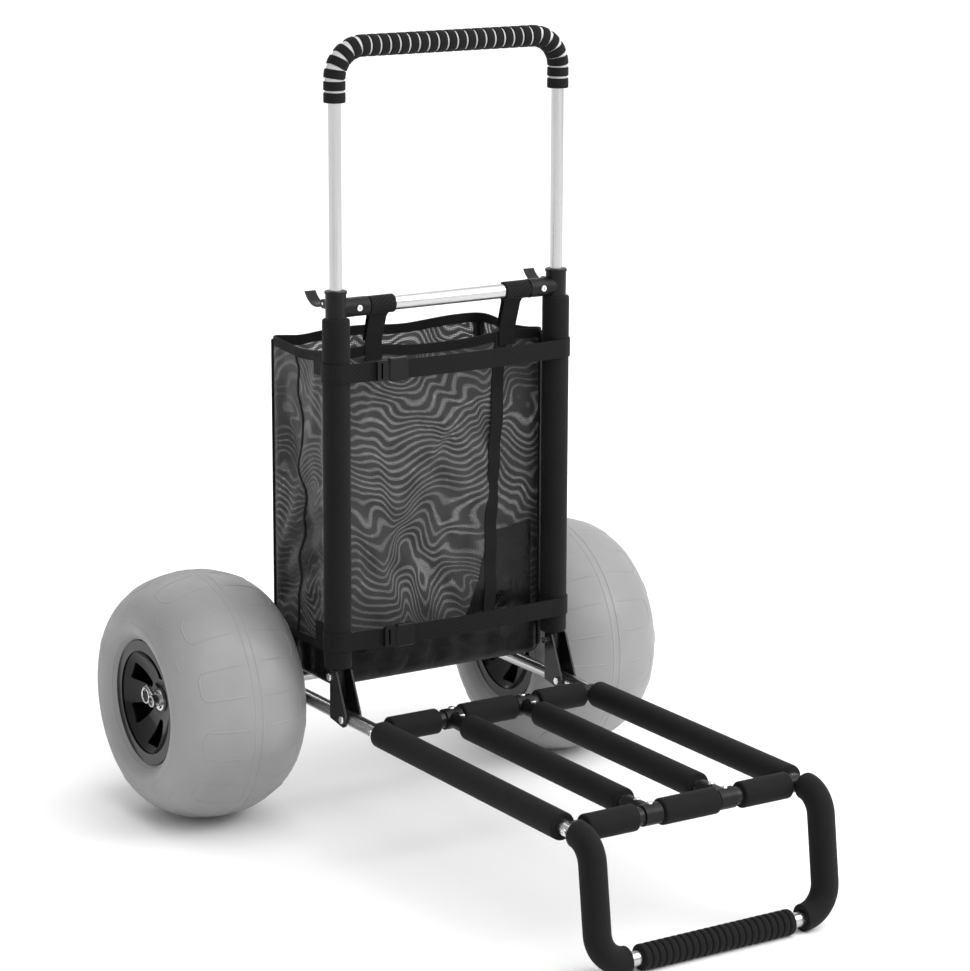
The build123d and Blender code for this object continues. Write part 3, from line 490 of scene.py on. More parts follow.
def sleeve_stations(route, inner, outer, rounding, quarter, inside, profile=None):
    """(length, radius) pairs out along a sleeve's outside, with rounded ends, and back along its bore.
    quarter holds the angles of a rounded end, inside the lengths between the ends."""
    total = route.length
    rising = [(rounding * (1 - sin(a)), outer - rounding * (1 - cos(a))) for a in reversed(quarter)]
    falling = [(total - s, radius) for s, radius in reversed(rising)]
    outside = profile(rounding, total - rounding) if profile else [(s, outer) for s in inside]
    return ([(0.0, inner)] + rising + outside + falling + [(total, inner)]
            + [(s, inner) for s in reversed(inside)])


def add_sleeve(shell, route, inner, outer, rounding=0.003, sides=40, profile=None):
    """Closed tube round a route, with rounded outer ends. profile(start, end) may give its outside."""
    margin = rounding * 1.2
    inside = [s for s in route.stations(0.02, 0.004) if margin < s < route.length - margin]
    quarter = [radians(15 * k) for k in range(7)]
    stations = sleeve_stations(route, inner, outer, rounding, quarter, inside, profile)
    shell.grid([route.ring(s, r, sides) for s, r in stations], closed_rows=True, closed_columns=True)


# ================================================================ foam sleeves
def foam_piece(name, routes, node, body, inner, outer, rounding=0.003, profile=None):
    """Foam sleeves along routes as one padded piece that stands for a CAD node."""
    shell = Shell()
    for route in routes:
        add_sleeve(shell, route, inner, outer, rounding, profile=profile)
    piece = shell.piece(name, foam, body, "black_foam", 30)
    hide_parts(node)


def sleeves_along_y(node, xs):
    """Straight routes from front to back of a node's box at the rails' height."""
    start, end = low(node).y, high(node).y
    return [Route([(x, start, rail_z), (x, end, rail_z)], (), (0, 0, 1)) for x in xs]


bore_gap = 0.0001
foam_piece("rail_foam_sleeves", sleeves_along_y("rail_foams", [-rail_x, rail_x]), "rail_foams", "deck",
           tube_radius + bore_gap, size("rail_foams").z / 2)

mid_x = middle("right_mid_bar").x
mid_bar_radius = size("right_mid_bar").x / 2
foam_piece("mid_bar_foam_sleeves", sleeves_along_y("mid_bar_foams", [-mid_x, mid_x]), "mid_bar_foams", "deck",
           mid_bar_radius + bore_gap, size("mid_bar_foams").z / 2)

crossbar_radius = size("rear_crossbar").z / 2
centre_foam_half = mid_x - 0.014
side_foam_from = mid_x + 0.022
for name in ("rear", "front"):
    node = name + "_crossbar_foams"
    bar_y = middle(node).y
    side_foam_to = high(node).x
    spans = [(-side_foam_to, -side_foam_from), (-centre_foam_half, centre_foam_half),
             (side_foam_from, side_foam_to)]
    foam_piece(name + "_crossbar_foam_sleeves",
               [Route([(start, bar_y, rail_z), (end, bar_y, rail_z)], (), (0, 0, 1)) for start, end in spans],
               node, "deck", crossbar_radius + bore_gap, size(node).z / 2)

upright_low, upright_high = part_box("upright_foams")
foam_piece("upright_foam_sleeves",
           [Route([(x, upright_y, upright_low.z), (x, upright_y, upright_high.z)], (), (0, 1, 0))
            for x in (-rail_x, rail_x)],
           "upright_foams", "back", tube_radius + bore_gap, size("upright_foams").y / 2)

# foot loop: the legs' foam runs down round the knee and the foot corner
leg_radius = 0.017
upper_bend, lower_bend = 0.032, 0.038
foot_y, foot_z = foot_place.y, foot_place.z
knee_y = foot_y + 0.0196
leg_start_y = high("foot_leg_foams").y
leg_end_x = rail_x - lower_bend - 0.001
leg_foot_z = foot_z + 0.0012     # the foam is a little thicker than the grip, and stays off the floor
floor_gap = 0.0002
leg_sides = 36


def add_leg_sleeve(shell, side):
    """A leg's foam. It bends in two planes, so each ring takes its direction from the one before."""
    route = Route([(side * rail_x, leg_start_y, rail_z), (side * rail_x, knee_y, rail_z),
                   (side * rail_x, foot_y, leg_foot_z), (side * leg_end_x, foot_y, leg_foot_z)],
                  (upper_bend, lower_bend), (side, 0, 0))
    rounding = 0.0016
    inside = [s for s in route.stations(0.01, 0.003) if rounding < s < route.length - rounding]
    quarter = [radians(18 * k) for k in range(6)]
    normal = Vector((side, 0, 0))
    rows = []
    for s, radius in sleeve_stations(route, tube_radius + bore_gap, leg_radius, rounding, quarter, inside):
        point, heading, _ = route.at(s)
        across = heading.cross(normal)
        if across.length < 0.1:
            across = heading.cross(Vector((0, 1, 0)))
        across.normalize()
        normal = across.cross(heading).normalized()
        ring = []
        for k in range(leg_sides):
            turn = tau * k / leg_sides
            spot = point + (normal * cos(turn) + across * sin(turn)) * radius
            spot.z = max(spot.z, floor_gap)
            ring.append(spot)
        rows.append(ring)
    shell.grid(rows, closed_rows=True, closed_columns=True)


leg_shell = Shell()
for side in sides.values():
    add_leg_sleeve(leg_shell, side)
legs = leg_shell.piece("foot_leg_foam_sleeves", foam, "deck", "black_foam", 40)
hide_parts("foot_leg_foams")

# ribbed grip on the foot bar
grip_low, grip_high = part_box("foot_grip")
rib_count = 23
rib_depth = 0.0022
groove_share = 0.13       # half-width of a groove, as a share of a rib
grip_length = grip_high.x - grip_low.x


def foot_ribs(start, end):
    """Outer radius along the grip: soft ribs with narrow grooves between them."""
    outer = size("foot_grip").z / 2
    steps = rib_count * 10
    found = []
    for k in range(steps + 1):
        s = start + (end - start) * k / steps
        phase = (s / grip_length * rib_count) % 1.0
        groove = min(phase, 1 - phase)
        found.append((s, outer - rib_depth * exp(-(groove / groove_share) ** 2)))
    return found


grip_route = Route([(grip_low.x, foot_y, foot_z), (grip_high.x, foot_y, foot_z)], (), (0, 0, 1))
foam_piece("foot_grip_ribs", [grip_route], "foot_grip", "deck", tube_radius + bore_gap,
           size("foot_grip").z / 2, 0.0024, foot_ribs)

# ================================================================ handle grip: foam rings on a core
handle_low, handle_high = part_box("handle_grip")
handle_bend = 0.040
grip_radius = size("handle_grip").y / 2
bar_z = handle_high.z - grip_radius
handle_route = Route([(-rail_x, upright_y, handle_low.z), (-rail_x, upright_y, bar_z),
                      (rail_x, upright_y, bar_z), (rail_x, upright_y, handle_low.z)],
                     (handle_bend, handle_bend), (0, 1, 0))
handle_tube_radius = size("handle_tube").y / 2
core_radius = grip_radius - 0.0017
core_shell = Shell()
add_sleeve(core_shell, handle_route, handle_tube_radius + bore_gap, core_radius, 0.002, 36)
core = core_shell.piece("handle_grip_core", core_foam, "handle", "black_foam", 30)

ring_count = 31
ring_pitch = handle_route.length / ring_count
ring_gap = 0.0026
ring_sides = 36
ring_corner = 0.0013
ring_foot = core_radius - 0.0004       # the rings sink a little into the core
ring_clear = 0.0008                    # least gap between rings on the inside of a bend


def grip_ring_outline(half):
    """(offset along, radius) pairs over one ring, with rounded shoulders."""
    steps = [radians(a) for a in range(0, 91, 18)]
    shoulder = [(half - ring_corner * (1 - sin(a)), grip_radius - ring_corner * (1 - cos(a))) for a in steps]
    mirrored = [(-along, radius) for along, radius in reversed(shoulder)]
    return ([(-half, ring_foot)] + mirrored + [(0.0, grip_radius + 0.0001)] + shoulder + [(half, ring_foot)])


ring_shell = Shell()
for k in range(ring_count):
    centre_s = (k + 0.5) * ring_pitch
    half = (ring_pitch - ring_gap) / 2
    if k in (0, ring_count - 1):
        half = (ring_pitch - ring_gap / 2) / 2
        centre_s += -ring_gap / 4 if k == 0 else ring_gap / 4
    _, _, curvature = handle_route.at(centre_s)
    rows = []
    for offset, radius in grip_ring_outline(half):
        ring = []
        for n in range(ring_sides):
            angle = tau * n / ring_sides
            _, outward = handle_route.spoke(centre_s, angle)
            spread = max(0.35, 1 - curvature.dot(outward) * radius)
            kept = min(1.0, (ring_pitch * spread - ring_clear) / (2 * half))
            s = centre_s + offset * kept / spread
            point, outward = handle_route.spoke(min(max(s, 0), handle_route.length), angle)
            ring.append(point + outward * radius)
        rows.append(ring)
    ring_shell.grid(rows, closed_rows=True, closed_columns=True)
rings = ring_shell.piece("handle_grip_rings", foam, "handle", "black_foam", 35)
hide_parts("handle_grip")

# ================================================================ balloon tyres
hub_half = size("left_hub").x / 2
rim_radius = size("left_hub").z / 2
tyre_half = size("left_tyre").x / 2
tyre_radius = size("left_tyre").z / 2
belly_radius = tyre_radius - 0.060
bead_x = hub_half - 0.00405
fall = (belly_radius - rim_radius) / sqrt(1 - (bead_x / tyre_half) ** 2)
bead_angle = asin((belly_radius - rim_radius) / fall)
lip_x, lip_radius = bead_x - 0.004, rim_radius - 0.006     # the bead turns in under the rim's lip
block_count = 12


def tyre_point(centre, side, angle, turn, lift=0.0):
    """Point on a tyre: angle round its section from the inner side's belly, turn round the axle."""
    rise = tyre_radius - belly_radius if sin(angle) > 0 else fall
    x, radius = tyre_half * cos(angle), belly_radius + rise * sin(angle)
    slope = Vector((cos(angle) / tyre_half, sin(angle) / rise)).normalized()
    x, radius = x + slope.x * lift, radius + slope.y * lift
    return Vector((centre.x + side * x, centre.y + radius * cos(turn), centre.z + radius * sin(turn)))


def parting_lift(angle):
    """Two fine ridges beside the tyre's middle, and a shallow band between them."""
    x = tyre_half * cos(angle)
    ridge = 0.00055 * exp(-((abs(x) - 0.0052) / 0.0007) ** 2)
    return ridge - 0.0003 * exp(-(x / 0.0045) ** 4)


def arc_steps(start, end, count):
    return [start + (end - start) * k / count for k in range(count + 1)]


def add_bead(shell, line, radius=0.0007, closed=False):
    """A fine raised bead along points given with their surface normals."""
    rows = []
    for k, (point, normal) in enumerate(line):
        ahead = line[(k + 1) % len(line)][0] if closed or k + 1 < len(line) else point
        behind = line[k - 1][0] if closed or k else point
        heading = (ahead - behind).normalized()
        across = heading.cross(normal).normalized()
        swell = 1.0 if closed else min(1.0, 0.15 + min(k, len(line) - 1 - k) * 0.3)
        rows.append([point + across * (1.9 * radius * c * swell) + normal * (radius * h * swell)
                     for c, h in ((-1.0, -0.3), (-0.5, 0.62), (0.0, 1.0), (0.5, 0.62), (1.0, -0.3))])
    shell.grid(rows, closed_rows=closed)


def surface_line(centre, side, pairs):
    """Points and normals on the tyre for (angle, turn) pairs."""
    line = []
    for angle, turn in pairs:
        point = tyre_point(centre, side, angle, turn)
        line.append((point, (tyre_point(centre, side, angle, turn, 0.01) - point).normalized()))
    return line


def rounded_block(first_angle, last_angle, turn, half_turn, corner):
    """A U outline: two straight legs from the middle band and a rounded outer end."""
    way = 1 if last_angle > first_angle else -1
    inner, outer = first_angle, last_angle - way * corner
    pairs = [(angle, turn - half_turn) for angle in arc_steps(inner, outer, 14)]
    tight = corner * 0.75
    for a in arc_steps(0, pi / 2, 7)[1:]:
        pairs.append((outer + way * corner * sin(a), turn - half_turn + tight * (1 - cos(a))))
    for a in arc_steps(pi / 2, 0, 7):
        pairs.append((outer + way * corner * sin(a), turn + half_turn - tight * (1 - cos(a))))
    pairs += [(angle, turn + half_turn) for angle in arc_steps(outer, inner, 14)[1:]]
    return pairs


for name, side in sides.items():
    centre = middle(name + "_tyre")
    angles = arc_steps(-bead_angle, 0, 14)[:-1] + arc_steps(0, radians(84), 24)[:-1]
    angles += arc_steps(radians(84), radians(96), 48)
    angles += arc_steps(radians(96), pi, 24)[1:] + arc_steps(pi, pi + bead_angle, 14)[1:]
    turns = 180
    shell = Shell()
    rows = []
    for angle in angles:
        lift = parting_lift(angle)
        rows.append([tyre_point(centre, side, angle, tau * k / turns, lift) for k in range(turns)])
    lips = [[Vector((centre.x + side * way * lip_x, centre.y + lip_radius * cos(tau * k / turns),
                     centre.z + lip_radius * sin(tau * k / turns))) for k in range(turns)] for way in (1, -1)]
    shell.grid([lips[0]] + rows + [lips[1]], closed_columns=True)
    tyre = shell.piece(name + "_balloon_tyre", tyre_rubber, name + "_wheel", "grey_tyre", 50)
    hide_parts(name + "_tyre")

    marks = Shell()
    for block in range(block_count):
        turn = tau * (block + 0.3) / block_count
        for way in (-1, 1):
            shift = 0 if way < 0 else pi / block_count
            start = radians(90) + way * radians(6)
            end = radians(90) + way * radians(47)
            block_line = rounded_block(start, end, turn + shift, radians(7.2), radians(7))
            add_bead(marks, surface_line(centre, side, block_line))
            # a short moulded arc on the shoulder between two blocks
            shoulder = radians(90) + way * radians(60)
            between = turn + shift + pi / block_count
            arc = [(shoulder + way * radians(5) * cos(a), between + radians(4.4) * sin(a))
                   for a in arc_steps(-1.25, 1.25, 14)]
            add_bead(marks, surface_line(centre, side, arc))
    for ring_angle in (radians(4), radians(176), -bead_angle * 0.72, pi + bead_angle * 0.72):
        circle = [(ring_angle, tau * k / 120) for k in range(120)]
        add_bead(marks, surface_line(centre, side, circle), 0.0005, True)
    marks.piece(name + "_tyre_moulding", tyre_rubber, name + "_wheel", "grey_tyre", 60)


# ================================================================ bag
bag_half = high("bag_right_side").x
bag_front, bag_back = low("bag_front").y, high("bag_back").y
bag_bottom, bag_top = low("bag_floor").z, high("bag_front").z
middle_y = (bag_front + bag_back) / 2
bag_corner = 0.018
band_top = bag_bottom + 0.052
tab_half = 0.0185
tab_x = high("bag_tabs").x - tab_half


def bag_outline():
    """Points round the bag seen from above: (x, y, outward x, outward y, panel, share along the panel)."""
    inner_x, inner_y0, inner_y1 = bag_half - bag_corner, bag_front + bag_corner, bag_back - bag_corner
    runs = [("front", (-inner_x, bag_front), (inner_x, bag_front), (0, -1), 72),
            ("right", (bag_half, inner_y0), (bag_half, inner_y1), (1, 0), 34),
            ("back", (inner_x, bag_back), (-inner_x, bag_back), (0, 1), 72),
            ("left", (-bag_half, inner_y1), (-bag_half, inner_y0), (-1, 0), 34)]
    corners = [(inner_x, inner_y0, -90), (inner_x, inner_y1, 0),
               (-inner_x, inner_y1, 90), (-inner_x, inner_y0, 180)]
    found = []
    for (panel, start, end, out, steps), (cx, cy, from_angle) in zip(runs, corners):
        for k in range(steps):
            share = k / steps
            found.append((start[0] + (end[0] - start[0]) * share, start[1] + (end[1] - start[1]) * share,
                          out[0], out[1], panel, share))
        for k in range(6):
            angle = radians(from_angle + 15 * k)
            found.append((cx + bag_corner * cos(angle), cy + bag_corner * sin(angle), cos(angle), sin(angle),
                          "corner", 0.0))
    return found


def smooth(value, start, end):
    share = min(1.0, max(0.0, (value - start) / (end - start)))
    return share * share * (3 - 2 * share)


def crease(x, z, start, end, width, height):
    """A fold along a line on a panel, fading at its ends."""
    run = Vector((end[0] - start[0], end[1] - start[1]))
    here = Vector((x - start[0], z - start[1]))
    share = here.dot(run) / run.length_squared
    off = abs(here.x * run.y - here.y * run.x) / run.length
    fade = smooth(share, -0.15, 0.2) * (1 - smooth(share, 0.8, 1.15))
    return height * exp(-(off / width) ** 2) * fade


# start (x, z), end (x, z), width and height of each fold on the front
front_creases = [((0.062, 0.600), (-0.045, 0.430), 0.010, 0.0055),
                 ((0.050, 0.560), (-0.095, 0.300), 0.016, -0.0040),
                 ((-0.095, 0.600), (-0.145, 0.500), 0.007, 0.0035),
                 ((0.115, 0.590), (0.030, 0.270), 0.013, 0.0040),
                 ((-0.020, 0.420), (0.045, 0.270), 0.012, 0.0035),
                 ((0.150, 0.560), (0.100, 0.420), 0.009, -0.0030),
                 ((-0.130, 0.420), (-0.060, 0.290), 0.012, 0.0035)]


def bag_push(x, y, z, panel, share):
    """How far the cloth stands out of the bag's flat walls."""
    if panel == "corner":
        edge = 0.0
    else:
        edge = smooth(share, 0.0, 0.16) * (1 - smooth(share, 0.84, 1.0))
    rise = (z - band_top) / (bag_top - band_top)
    upright_fade = smooth(rise, 0.0, 0.12) * (1 - smooth(rise, 0.9, 1.0))
    depth = {"front": 0.005, "back": 0.009, "left": 0.008, "right": 0.008, "corner": 0.0}[panel]
    push = -depth * edge * sin(pi * min(1, max(0, rise)))
    push += 0.0040 * edge * noise.noise(Vector((x * 17, y * 17, z * 11)))
    push += 0.0016 * edge * noise.noise(Vector((x * 46 + 5, y * 46, z * 30)))
    along = x if panel in ("front", "back") else y
    waves = 0.0022 if panel in ("left", "right") else 0.0014
    push += waves * edge * sin((along * 0.8 + z) * 95 + 5 * noise.noise(Vector((x * 9, y * 9, z * 9))))
    if panel == "front":
        push += edge * sum(crease(x, z, *fold) for fold in front_creases)
    if panel in ("left", "right"):
        push += edge * crease(y, z, (bag_front + 0.03, 0.60), (bag_back - 0.03, 0.36), 0.012, 0.004)
        push += edge * crease(y, z, (bag_back - 0.02, 0.56), (bag_front + 0.04, 0.30), 0.014, -0.004)
    return min(push * upright_fade, 0.0012 if panel == "front" else 0.006)


def rim_z(x, y, panel, share):
    """Height of the rim: the tabs hold the front up, and it dips between them and at the back."""
    sag = 0.004
    if panel == "front":
        inside = min(abs(x) / tab_x, 1.0)
        sag = 0.0075 * (1 - inside ** 2) + 0.005 * smooth(abs(x), tab_x, bag_half)
    elif panel == "back":
        sag = 0.010 + 0.0025 * sin(x * 38)
    elif panel in ("left", "right"):
        sag = 0.006 + 0.006 * sin(pi * share)
    elif y > middle_y:
        sag = 0.008
    return bag_top - 0.002 - sag


outline = bag_outline()
smoothed_rim = []
for k in range(len(outline)):
    near = [outline[(k + step) % len(outline)] for step in range(-5, 6)]
    smoothed_rim.append(sum(rim_z(p[0], p[1], p[4], p[5]) for p in near) / len(near))
wall_rows = 60


def bag_point(k, z, lift=0.0):
    x, y, ox, oy, panel, share = outline[k % len(outline)]
    push = bag_push(x, y, z, panel, share) + lift
    return Vector((x + ox * push, y + oy * push, z))


def panel_places(panel):
    """Places in the outline that lie on a panel."""
    return [k for k in range(len(outline)) if outline[k][4] == panel]


lengths = [0.0]
for k in range(len(outline)):
    a, b = outline[k], outline[(k + 1) % len(outline)]
    lengths.append(lengths[-1] + hypot(b[0] - a[0], b[1] - a[1]))

wall_points = []
for k in range(len(outline)):
    base_z, top_z = band_top - 0.006, smoothed_rim[k] - 0.001
    wall_points.append([bag_point(k, base_z + (top_z - base_z) * j / wall_rows)
                        for j in range(wall_rows + 1)])
wall_shell = Shell()
wall_shell.grid(wall_points, closed_rows=True, us=lengths,
                vs=[(bag_top - band_top) * j / wall_rows for j in range(wall_rows + 1)])
bag_walls = wall_shell.piece("bag_mesh_walls", net_front, "back", "mesh_fabric", 70)
bag_walls.data.materials.append(net_back)
for face in bag_walls.data.polygons:
    face.material_index = 1 if face.center.y > bag_back - 0.02 else 0
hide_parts("bag_front", "bag_back", "bag_left_side", "bag_right_side")

# coated base: a band round the foot of the walls, turned under into a floor that sags. Its rows stop
# short of the centre, which leaves a slot open there
base_shell = Shell()
base_rows = []
turn_radius = 0.012
for k, (x, y, ox, oy, *_) in enumerate(outline):
    row = []
    for j in range(9):
        z = band_top - (band_top - bag_bottom - turn_radius) * j / 8
        ripple = 0.0011 * noise.noise(Vector((x * 40, y * 40, z * 60))) + 0.0008 * sin(x * 150 + y * 190)
        row.append(bag_point(k, z, 0.0012 + ripple))
    for j in range(1, 6):
        angle = radians(18 * j)
        inset, drop = turn_radius * (1 - cos(angle)) - 0.001, turn_radius * sin(angle)
        row.append(Vector((x - ox * inset, y - oy * inset, bag_bottom + turn_radius - drop)))
    for j in range(1, 9):
        pull = 1 - j / 9
        floor_x, floor_y = x * (0.25 + 0.75 * pull) * 0.93, middle_y + (y - middle_y) * pull * 0.93
        wrinkle = 0.0022 * noise.noise(Vector((floor_x * 26, floor_y * 26, 3)))
        floor_z = bag_bottom + 0.0006 - 0.0035 * (1 - pull) + wrinkle * min(1, j / 2)
        row.append(Vector((floor_x, floor_y, floor_z)))
    base_rows.append(row)
girth_steps = [0.0]
for a, b in zip(base_rows[0], base_rows[0][1:]):
    girth_steps.append(girth_steps[-1] + (b - a).length)
base_shell.grid(base_rows, closed_rows=True, us=lengths, vs=girth_steps)
bag_base = base_shell.piece("bag_coated_base", coated, "back", "coated_fabric", 60)
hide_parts("bag_floor")

# coated patch low on the front, at the right
patch_shell = Shell()
patch_rows = []
patch_steps = 26
patch_places = [k for k in panel_places("front") if 0.040 < outline[k][0] < bag_half - 0.006]
for k in patch_places:
    x = outline[k][0]
    patch_top = band_top + 0.020 + 0.112 * smooth(x, 0.036, 0.090) + 0.010 * smooth(x, 0.09, 0.16)
    patch_rows.append([bag_point(k, band_top - 0.004 + (patch_top - band_top) * j / patch_steps, 0.0010)
                       for j in range(patch_steps + 1)])
patch_shell.grid(patch_rows, us=[lengths[k] for k in patch_places],
                 vs=[0.005 * j for j in range(patch_steps + 1)])
bag_patch = patch_shell.piece("bag_coated_patch", coated, "back", "coated_fabric", 60)


# ================================================================ tape: bindings, straps and tabs
def add_tape(shell, line, wide, half_widths, thickness, closed=False):
    """A flat tape along points given with their outward normals; wide holds each point's way across."""
    half_thick = thickness / 2
    us = [0.0]
    for (a, _), (b, _) in zip(line, line[1:] + line[:1]):
        us.append(us[-1] + (b - a).length)
    rows = []
    for (point, normal), across, half in zip(line, wide, half_widths):
        edge = half - half_thick * 0.6
        rows.append([point + across * c + normal * h for c, h in (
            (-edge, half_thick), (0.0, half_thick), (edge, half_thick), (half, 0.0),
            (edge, -half_thick), (0.0, -half_thick), (-edge, -half_thick), (-half, 0.0))])
    width = 2 * half_widths[0]
    vs = [width * share for share in (0.0, 0.5, 1, 1.03, 1.06, 1.5, 2, 2.03, 2.06)]
    start = len(shell.points)
    shell.grid(rows, closed_rows=closed, closed_columns=True, us=us, vs=vs)
    if not closed:
        shell.cap(start, 8)
        shell.cap(start + 8 * (len(rows) - 1), 8, True)
    return us[-1] if closed else us[-2]


def densify(points, step=0.004):
    """The same polyline with extra points along its long runs."""
    found = []
    for a, b in zip(points, points[1:]):
        steps = max(1, ceil((b - a).length / step))
        found += [a + (b - a) * k / steps for k in range(steps)]
    return found + [points[-1]]


up = Vector((0, 0, 1))
binding_shell = Shell()


def add_binding(line, across, half, thickness, closed=False):
    """A tape of one width that keeps one direction across."""
    add_tape(binding_shell, line, [across] * len(line), [half] * len(line), thickness, closed)


# folded tape over the rim, and tape round the band's top and down each of the bag's corners
outward = [Vector((place[2], place[3], 0)) for place in outline]
rim_line = [(bag_point(k, smoothed_rim[k] - 0.006), outward[k]) for k in range(len(outline))]
rim_wave = [0.0014 * noise.noise(Vector((p.x * 30, p.y * 30, 7))) for p, _ in rim_line]
rim_line = [(p + n * wave, n) for (p, n), wave in zip(rim_line, rim_wave)]
add_binding(rim_line, up, 0.0068, 0.0030, closed=True)
foot_line = [(bag_point(k, band_top, 0.0014), outward[k]) for k in range(len(outline))]
add_binding(foot_line, up, 0.0055, 0.0018, closed=True)
corner_middles = [k for k in panel_places("corner")
                  if outline[k - 3][4] == "corner" and outline[k - 4][4] != "corner"]
binding_foot = bag_bottom + turn_radius
for k in corner_middles:
    x, y, out = outline[k][0], outline[k][1], outward[k]
    line = []
    for j in range(wall_rows + 1):
        z = binding_foot + (smoothed_rim[k] - 0.004 - binding_foot) * j / wall_rows
        line.append((Vector((x, y, z)) + out * 0.0010, out))
    add_binding(line, out.cross(up), 0.0075, 0.0026)
# a seam down each side wall
for side in sides.values():
    k = min(panel_places("left" if side < 0 else "right"),
            key=lambda k: abs(outline[k][1] - middle_y - 0.008))
    line = [(bag_point(k, band_top + (smoothed_rim[k] - band_top - 0.006) * j / wall_rows, 0.0008),
             Vector((side, 0, 0))) for j in range(wall_rows + 1)]
    add_binding(line, Vector((0, side, 0)), 0.0022, 0.0014)
# webbing down the front, leaning a little
line = []
for j in range(wall_rows + 1):
    z = band_top + (bag_top - 0.008 - band_top) * j / wall_rows
    x = 0.076 + 0.018 * (z - band_top) / (bag_top - band_top)
    push = bag_push(x, bag_front, z, "front", (x + bag_half) / (2 * bag_half))
    line.append((Vector((x, bag_front - push - 0.0012, z)), Vector((0, -1, 0))))
add_binding(line, Vector((1, 0, 0)), 0.0095, 0.0016)
bindings = binding_shell.piece("bag_bindings", binding_tape, "back", "black_webbing", 40)

# straps round both uprights, their tails sewn to the bag's sides
foam_radius = size("upright_foams").y / 2
tape_thickness = 0.0015
strap_radius = foam_radius + 0.0003 + tape_thickness / 2
strap_tail_y = high("upper_strap").y
for name in ("upper", "lower"):
    node = name + "_strap"
    strap_z, strap_half = middle(node).z, size(node).z / 2
    tail_x = bag_half + 0.0009
    points = [Vector((-tail_x, strap_tail_y, 0)), Vector((-tail_x - 0.0006, bag_front + 0.004, 0))]
    points += [Vector((-rail_x, upright_y, 0)) + Vector((-cos(radians(a)), sin(radians(a)), 0)) * strap_radius
               for a in range(46, -91, -8)]
    points.append(Vector((-rail_x, upright_y - strap_radius, 0)))
    middle_steps = 24
    points += [Vector((-rail_x + 2 * rail_x * k / middle_steps, upright_y - strap_radius, 0))
               for k in range(1, middle_steps)]
    mirrored = [Vector((-p.x, p.y, 0)) for p in reversed(points[:-(middle_steps - 1)])]
    flat_line = densify(points + mirrored, 0.005)
    shell = Shell()
    line, wide = [], []
    for k, point in enumerate(flat_line):
        ahead = flat_line[min(k + 1, len(flat_line) - 1)]
        behind = flat_line[max(k - 1, 0)]
        heading = (ahead - behind).normalized()
        normal = heading.cross(up)
        ahead_of_bars = point.y < upright_y - 0.9 * strap_radius
        between = max(0.0, 1 - (point.x / (rail_x - 0.01)) ** 2) if ahead_of_bars else 0.0
        wobble = 0.0010 * noise.noise(Vector((point.x * 22, point.y * 22, strap_z * 9)))
        place = Vector((point.x, point.y, strap_z - 0.0022 * between))
        line.append((place + normal * (wobble * between), normal))
        lean = 0.05 * noise.noise(Vector((point.x * 14, 1, strap_z))) * between
        wide.append((up + normal * lean).normalized())
    strap_length = add_tape(shell, line, wide, [strap_half] * len(line), tape_thickness)
    strap = shell.piece(name + "_webbing_strap", webbing, "back", "black_webbing", 40)
    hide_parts(node)

# tabs: tape wrapped over the upper bar, narrower where it runs down to the bag's rim
bar_y, bar_height = middle("upper_bar").y, middle("upper_bar").z
loop_radius = size("upper_bar").z / 2 + 0.0009 + tape_thickness / 2
bar_centre = Vector((0, bar_y, bar_height))
x_way = Vector((1, 0, 0))
loop = [bar_centre + Vector((0, cos(radians(a)), sin(radians(a)))) * loop_radius
        for a in range(-72, -299, -8)]
front_run = densify([Vector((0, bag_front - 0.0034, bag_top - 0.022)),
                     Vector((0, bag_front - 0.0022, bag_top + 0.001)), loop[0]], 0.004)
back_run = densify([loop[-1], Vector((0, bag_front + 0.0030, bag_top + 0.004))], 0.004)
path = front_run[:-1] + loop + back_run[1:]
normals, halves = [], []
for k, point in enumerate(path):
    heading = (path[min(k + 1, len(path) - 1)] - path[max(k - 1, 0)]).normalized()
    normals.append(heading.cross(x_way).normalized())
    round_bar = (point - bar_centre).length < loop_radius * 1.25
    halves.append(tab_half if round_bar else tab_half * 0.70)
softened = [(halves[max(k - 1, 0)] + 2 * halves[k] + halves[min(k + 1, len(halves) - 1)]) / 4
            for k in range(len(halves))]
tab_shell = Shell()
for side in sides.values():
    spots = [(point + x_way * (side * tab_x), normal) for point, normal in zip(path, normals)]
    tab_length = add_tape(tab_shell, spots, [x_way] * len(spots), softened, 0.0017)
tabs = tab_shell.piece("bag_tab_loops", webbing, "back", "black_webbing", 40)
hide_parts("bag_tabs")


# ================================================================ stage, lights and camera
def pale_material(name, value):
    look = Look(name, 0.9)
    look.colours(look.noise(0.6, 2), grey(value), grey(value * 1.01))
    return look.material


def make_floor():
    reach = 30.0
    mesh = bpy.data.meshes.new("floor")
    corners = [(-reach, -reach, 0), (reach, -reach, 0), (reach, reach, 0), (-reach, reach, 0)]
    mesh.from_pydata(corners, [], [(0, 1, 2, 3)])
    mesh.materials.append(pale_material("pale_floor", 0.93))
    floor = bpy.data.objects.new("floor", mesh)
    link(floor)


def make_light(name, place, target, width, height, power):
    data = bpy.data.lights.new(name, "AREA")
    data.shape = "RECTANGLE"
    data.size, data.size_y, data.energy = width, height, power
    lamp = bpy.data.objects.new(name, data)
    lamp.location = place
    lamp.rotation_euler = (Vector(target) - Vector(place)).to_track_quat("-Z", "Y").to_euler()
    link(lamp)


make_floor()
world = bpy.data.worlds.new("studio")
world.use_nodes = True
sky = world.node_tree
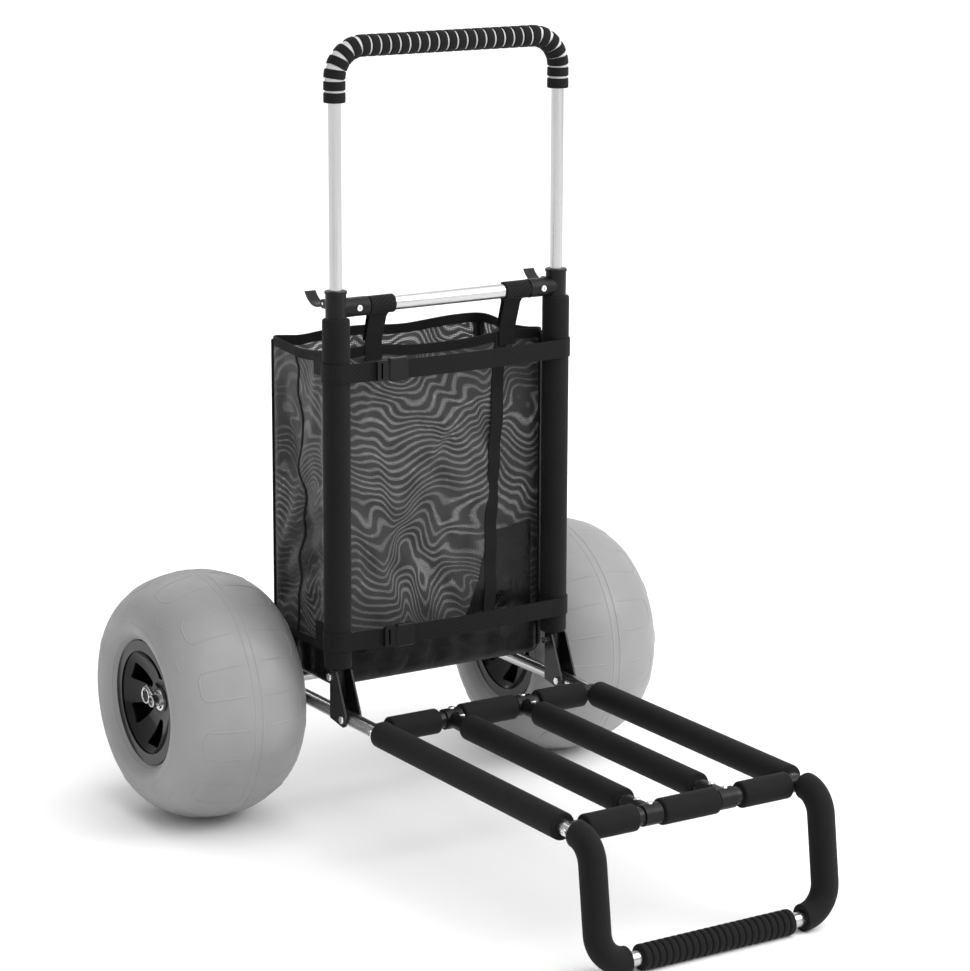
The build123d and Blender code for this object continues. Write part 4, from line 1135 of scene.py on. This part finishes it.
# a fixed studio: grey to the camera's left, a dark band just left of the middle, bright to the right
towards = sky.nodes.new("ShaderNodeTexCoord")
level_dot = sky.nodes.new("ShaderNodeVectorMath")
level_dot.operation = "DOT_PRODUCT"
level_dot.inputs[1].default_value = (0.844, -0.536, 0.0)
sky.links.new(towards.outputs["Generated"], level_dot.inputs[0])
spread = sky.nodes.new("ShaderNodeMapRange")
spread.inputs["From Min"].default_value, spread.inputs["From Max"].default_value = -1.0, 1.0
sky.links.new(level_dot.outputs["Value"], spread.inputs["Value"])
ramp = sky.nodes.new("ShaderNodeValToRGB")
stops = ((0.0, 0.72), (0.32, 0.50), (0.40, 0.30), (0.46, 0.30), (0.52, 1.10), (1.0, 0.85))
for element, (place, value) in zip(ramp.color_ramp.elements, (stops[0], stops[-1])):
    element.position, element.color = place, (*grey(value), 1)
for place, value in stops[1:-1]:
    ramp.color_ramp.elements.new(place).color = (*grey(value), 1)
sky.links.new(spread.outputs["Result"], ramp.inputs["Fac"])
sky.links.new(ramp.outputs["Color"], sky.nodes["Background"].inputs["Color"])
sky.nodes["Background"].inputs["Strength"].default_value = 0.95
bpy.context.scene.world = world
bpy.context.scene.view_settings.view_transform = "Standard"
aim = (0, 0, 0.45)
sun_data = bpy.data.lights.new("sun", "SUN")
sun_data.energy, sun_data.angle = 1.9, radians(70)
sun = bpy.data.objects.new("sun", sun_data)
sun.rotation_euler = (radians(22), radians(12), 0)
link(sun)
make_light("key", (3.0, -2.6, 2.6), aim, 2.0, 2.4, 80)
make_light("back", (0.6, 3.6, 2.8), aim, 3.4, 1.8, 40)

camera_place = Vector((-2.185, -3.378, 1.4317))
camera_azimuth, camera_elevation, camera_roll = radians(-32.5), radians(13.343), radians(0.238)
data = bpy.data.cameras.new("camera")
data.lens = 120.3
data.sensor_width = 36.0
camera = bpy.data.objects.new("camera", data)
forward = Vector((-sin(camera_azimuth) * cos(camera_elevation), cos(camera_azimuth) * cos(camera_elevation),
                  -sin(camera_elevation)))
level = forward.cross(Vector((0, 0, 1))).normalized()
upward = level.cross(forward)
right = level * cos(camera_roll) + upward * sin(camera_roll)
top = upward * cos(camera_roll) - level * sin(camera_roll)
turn = Matrix((right, top, -forward)).transposed().to_4x4()
camera.matrix_world = Matrix.Translation(camera_place) @ turn
link(camera)
bpy.context.scene.camera = camera
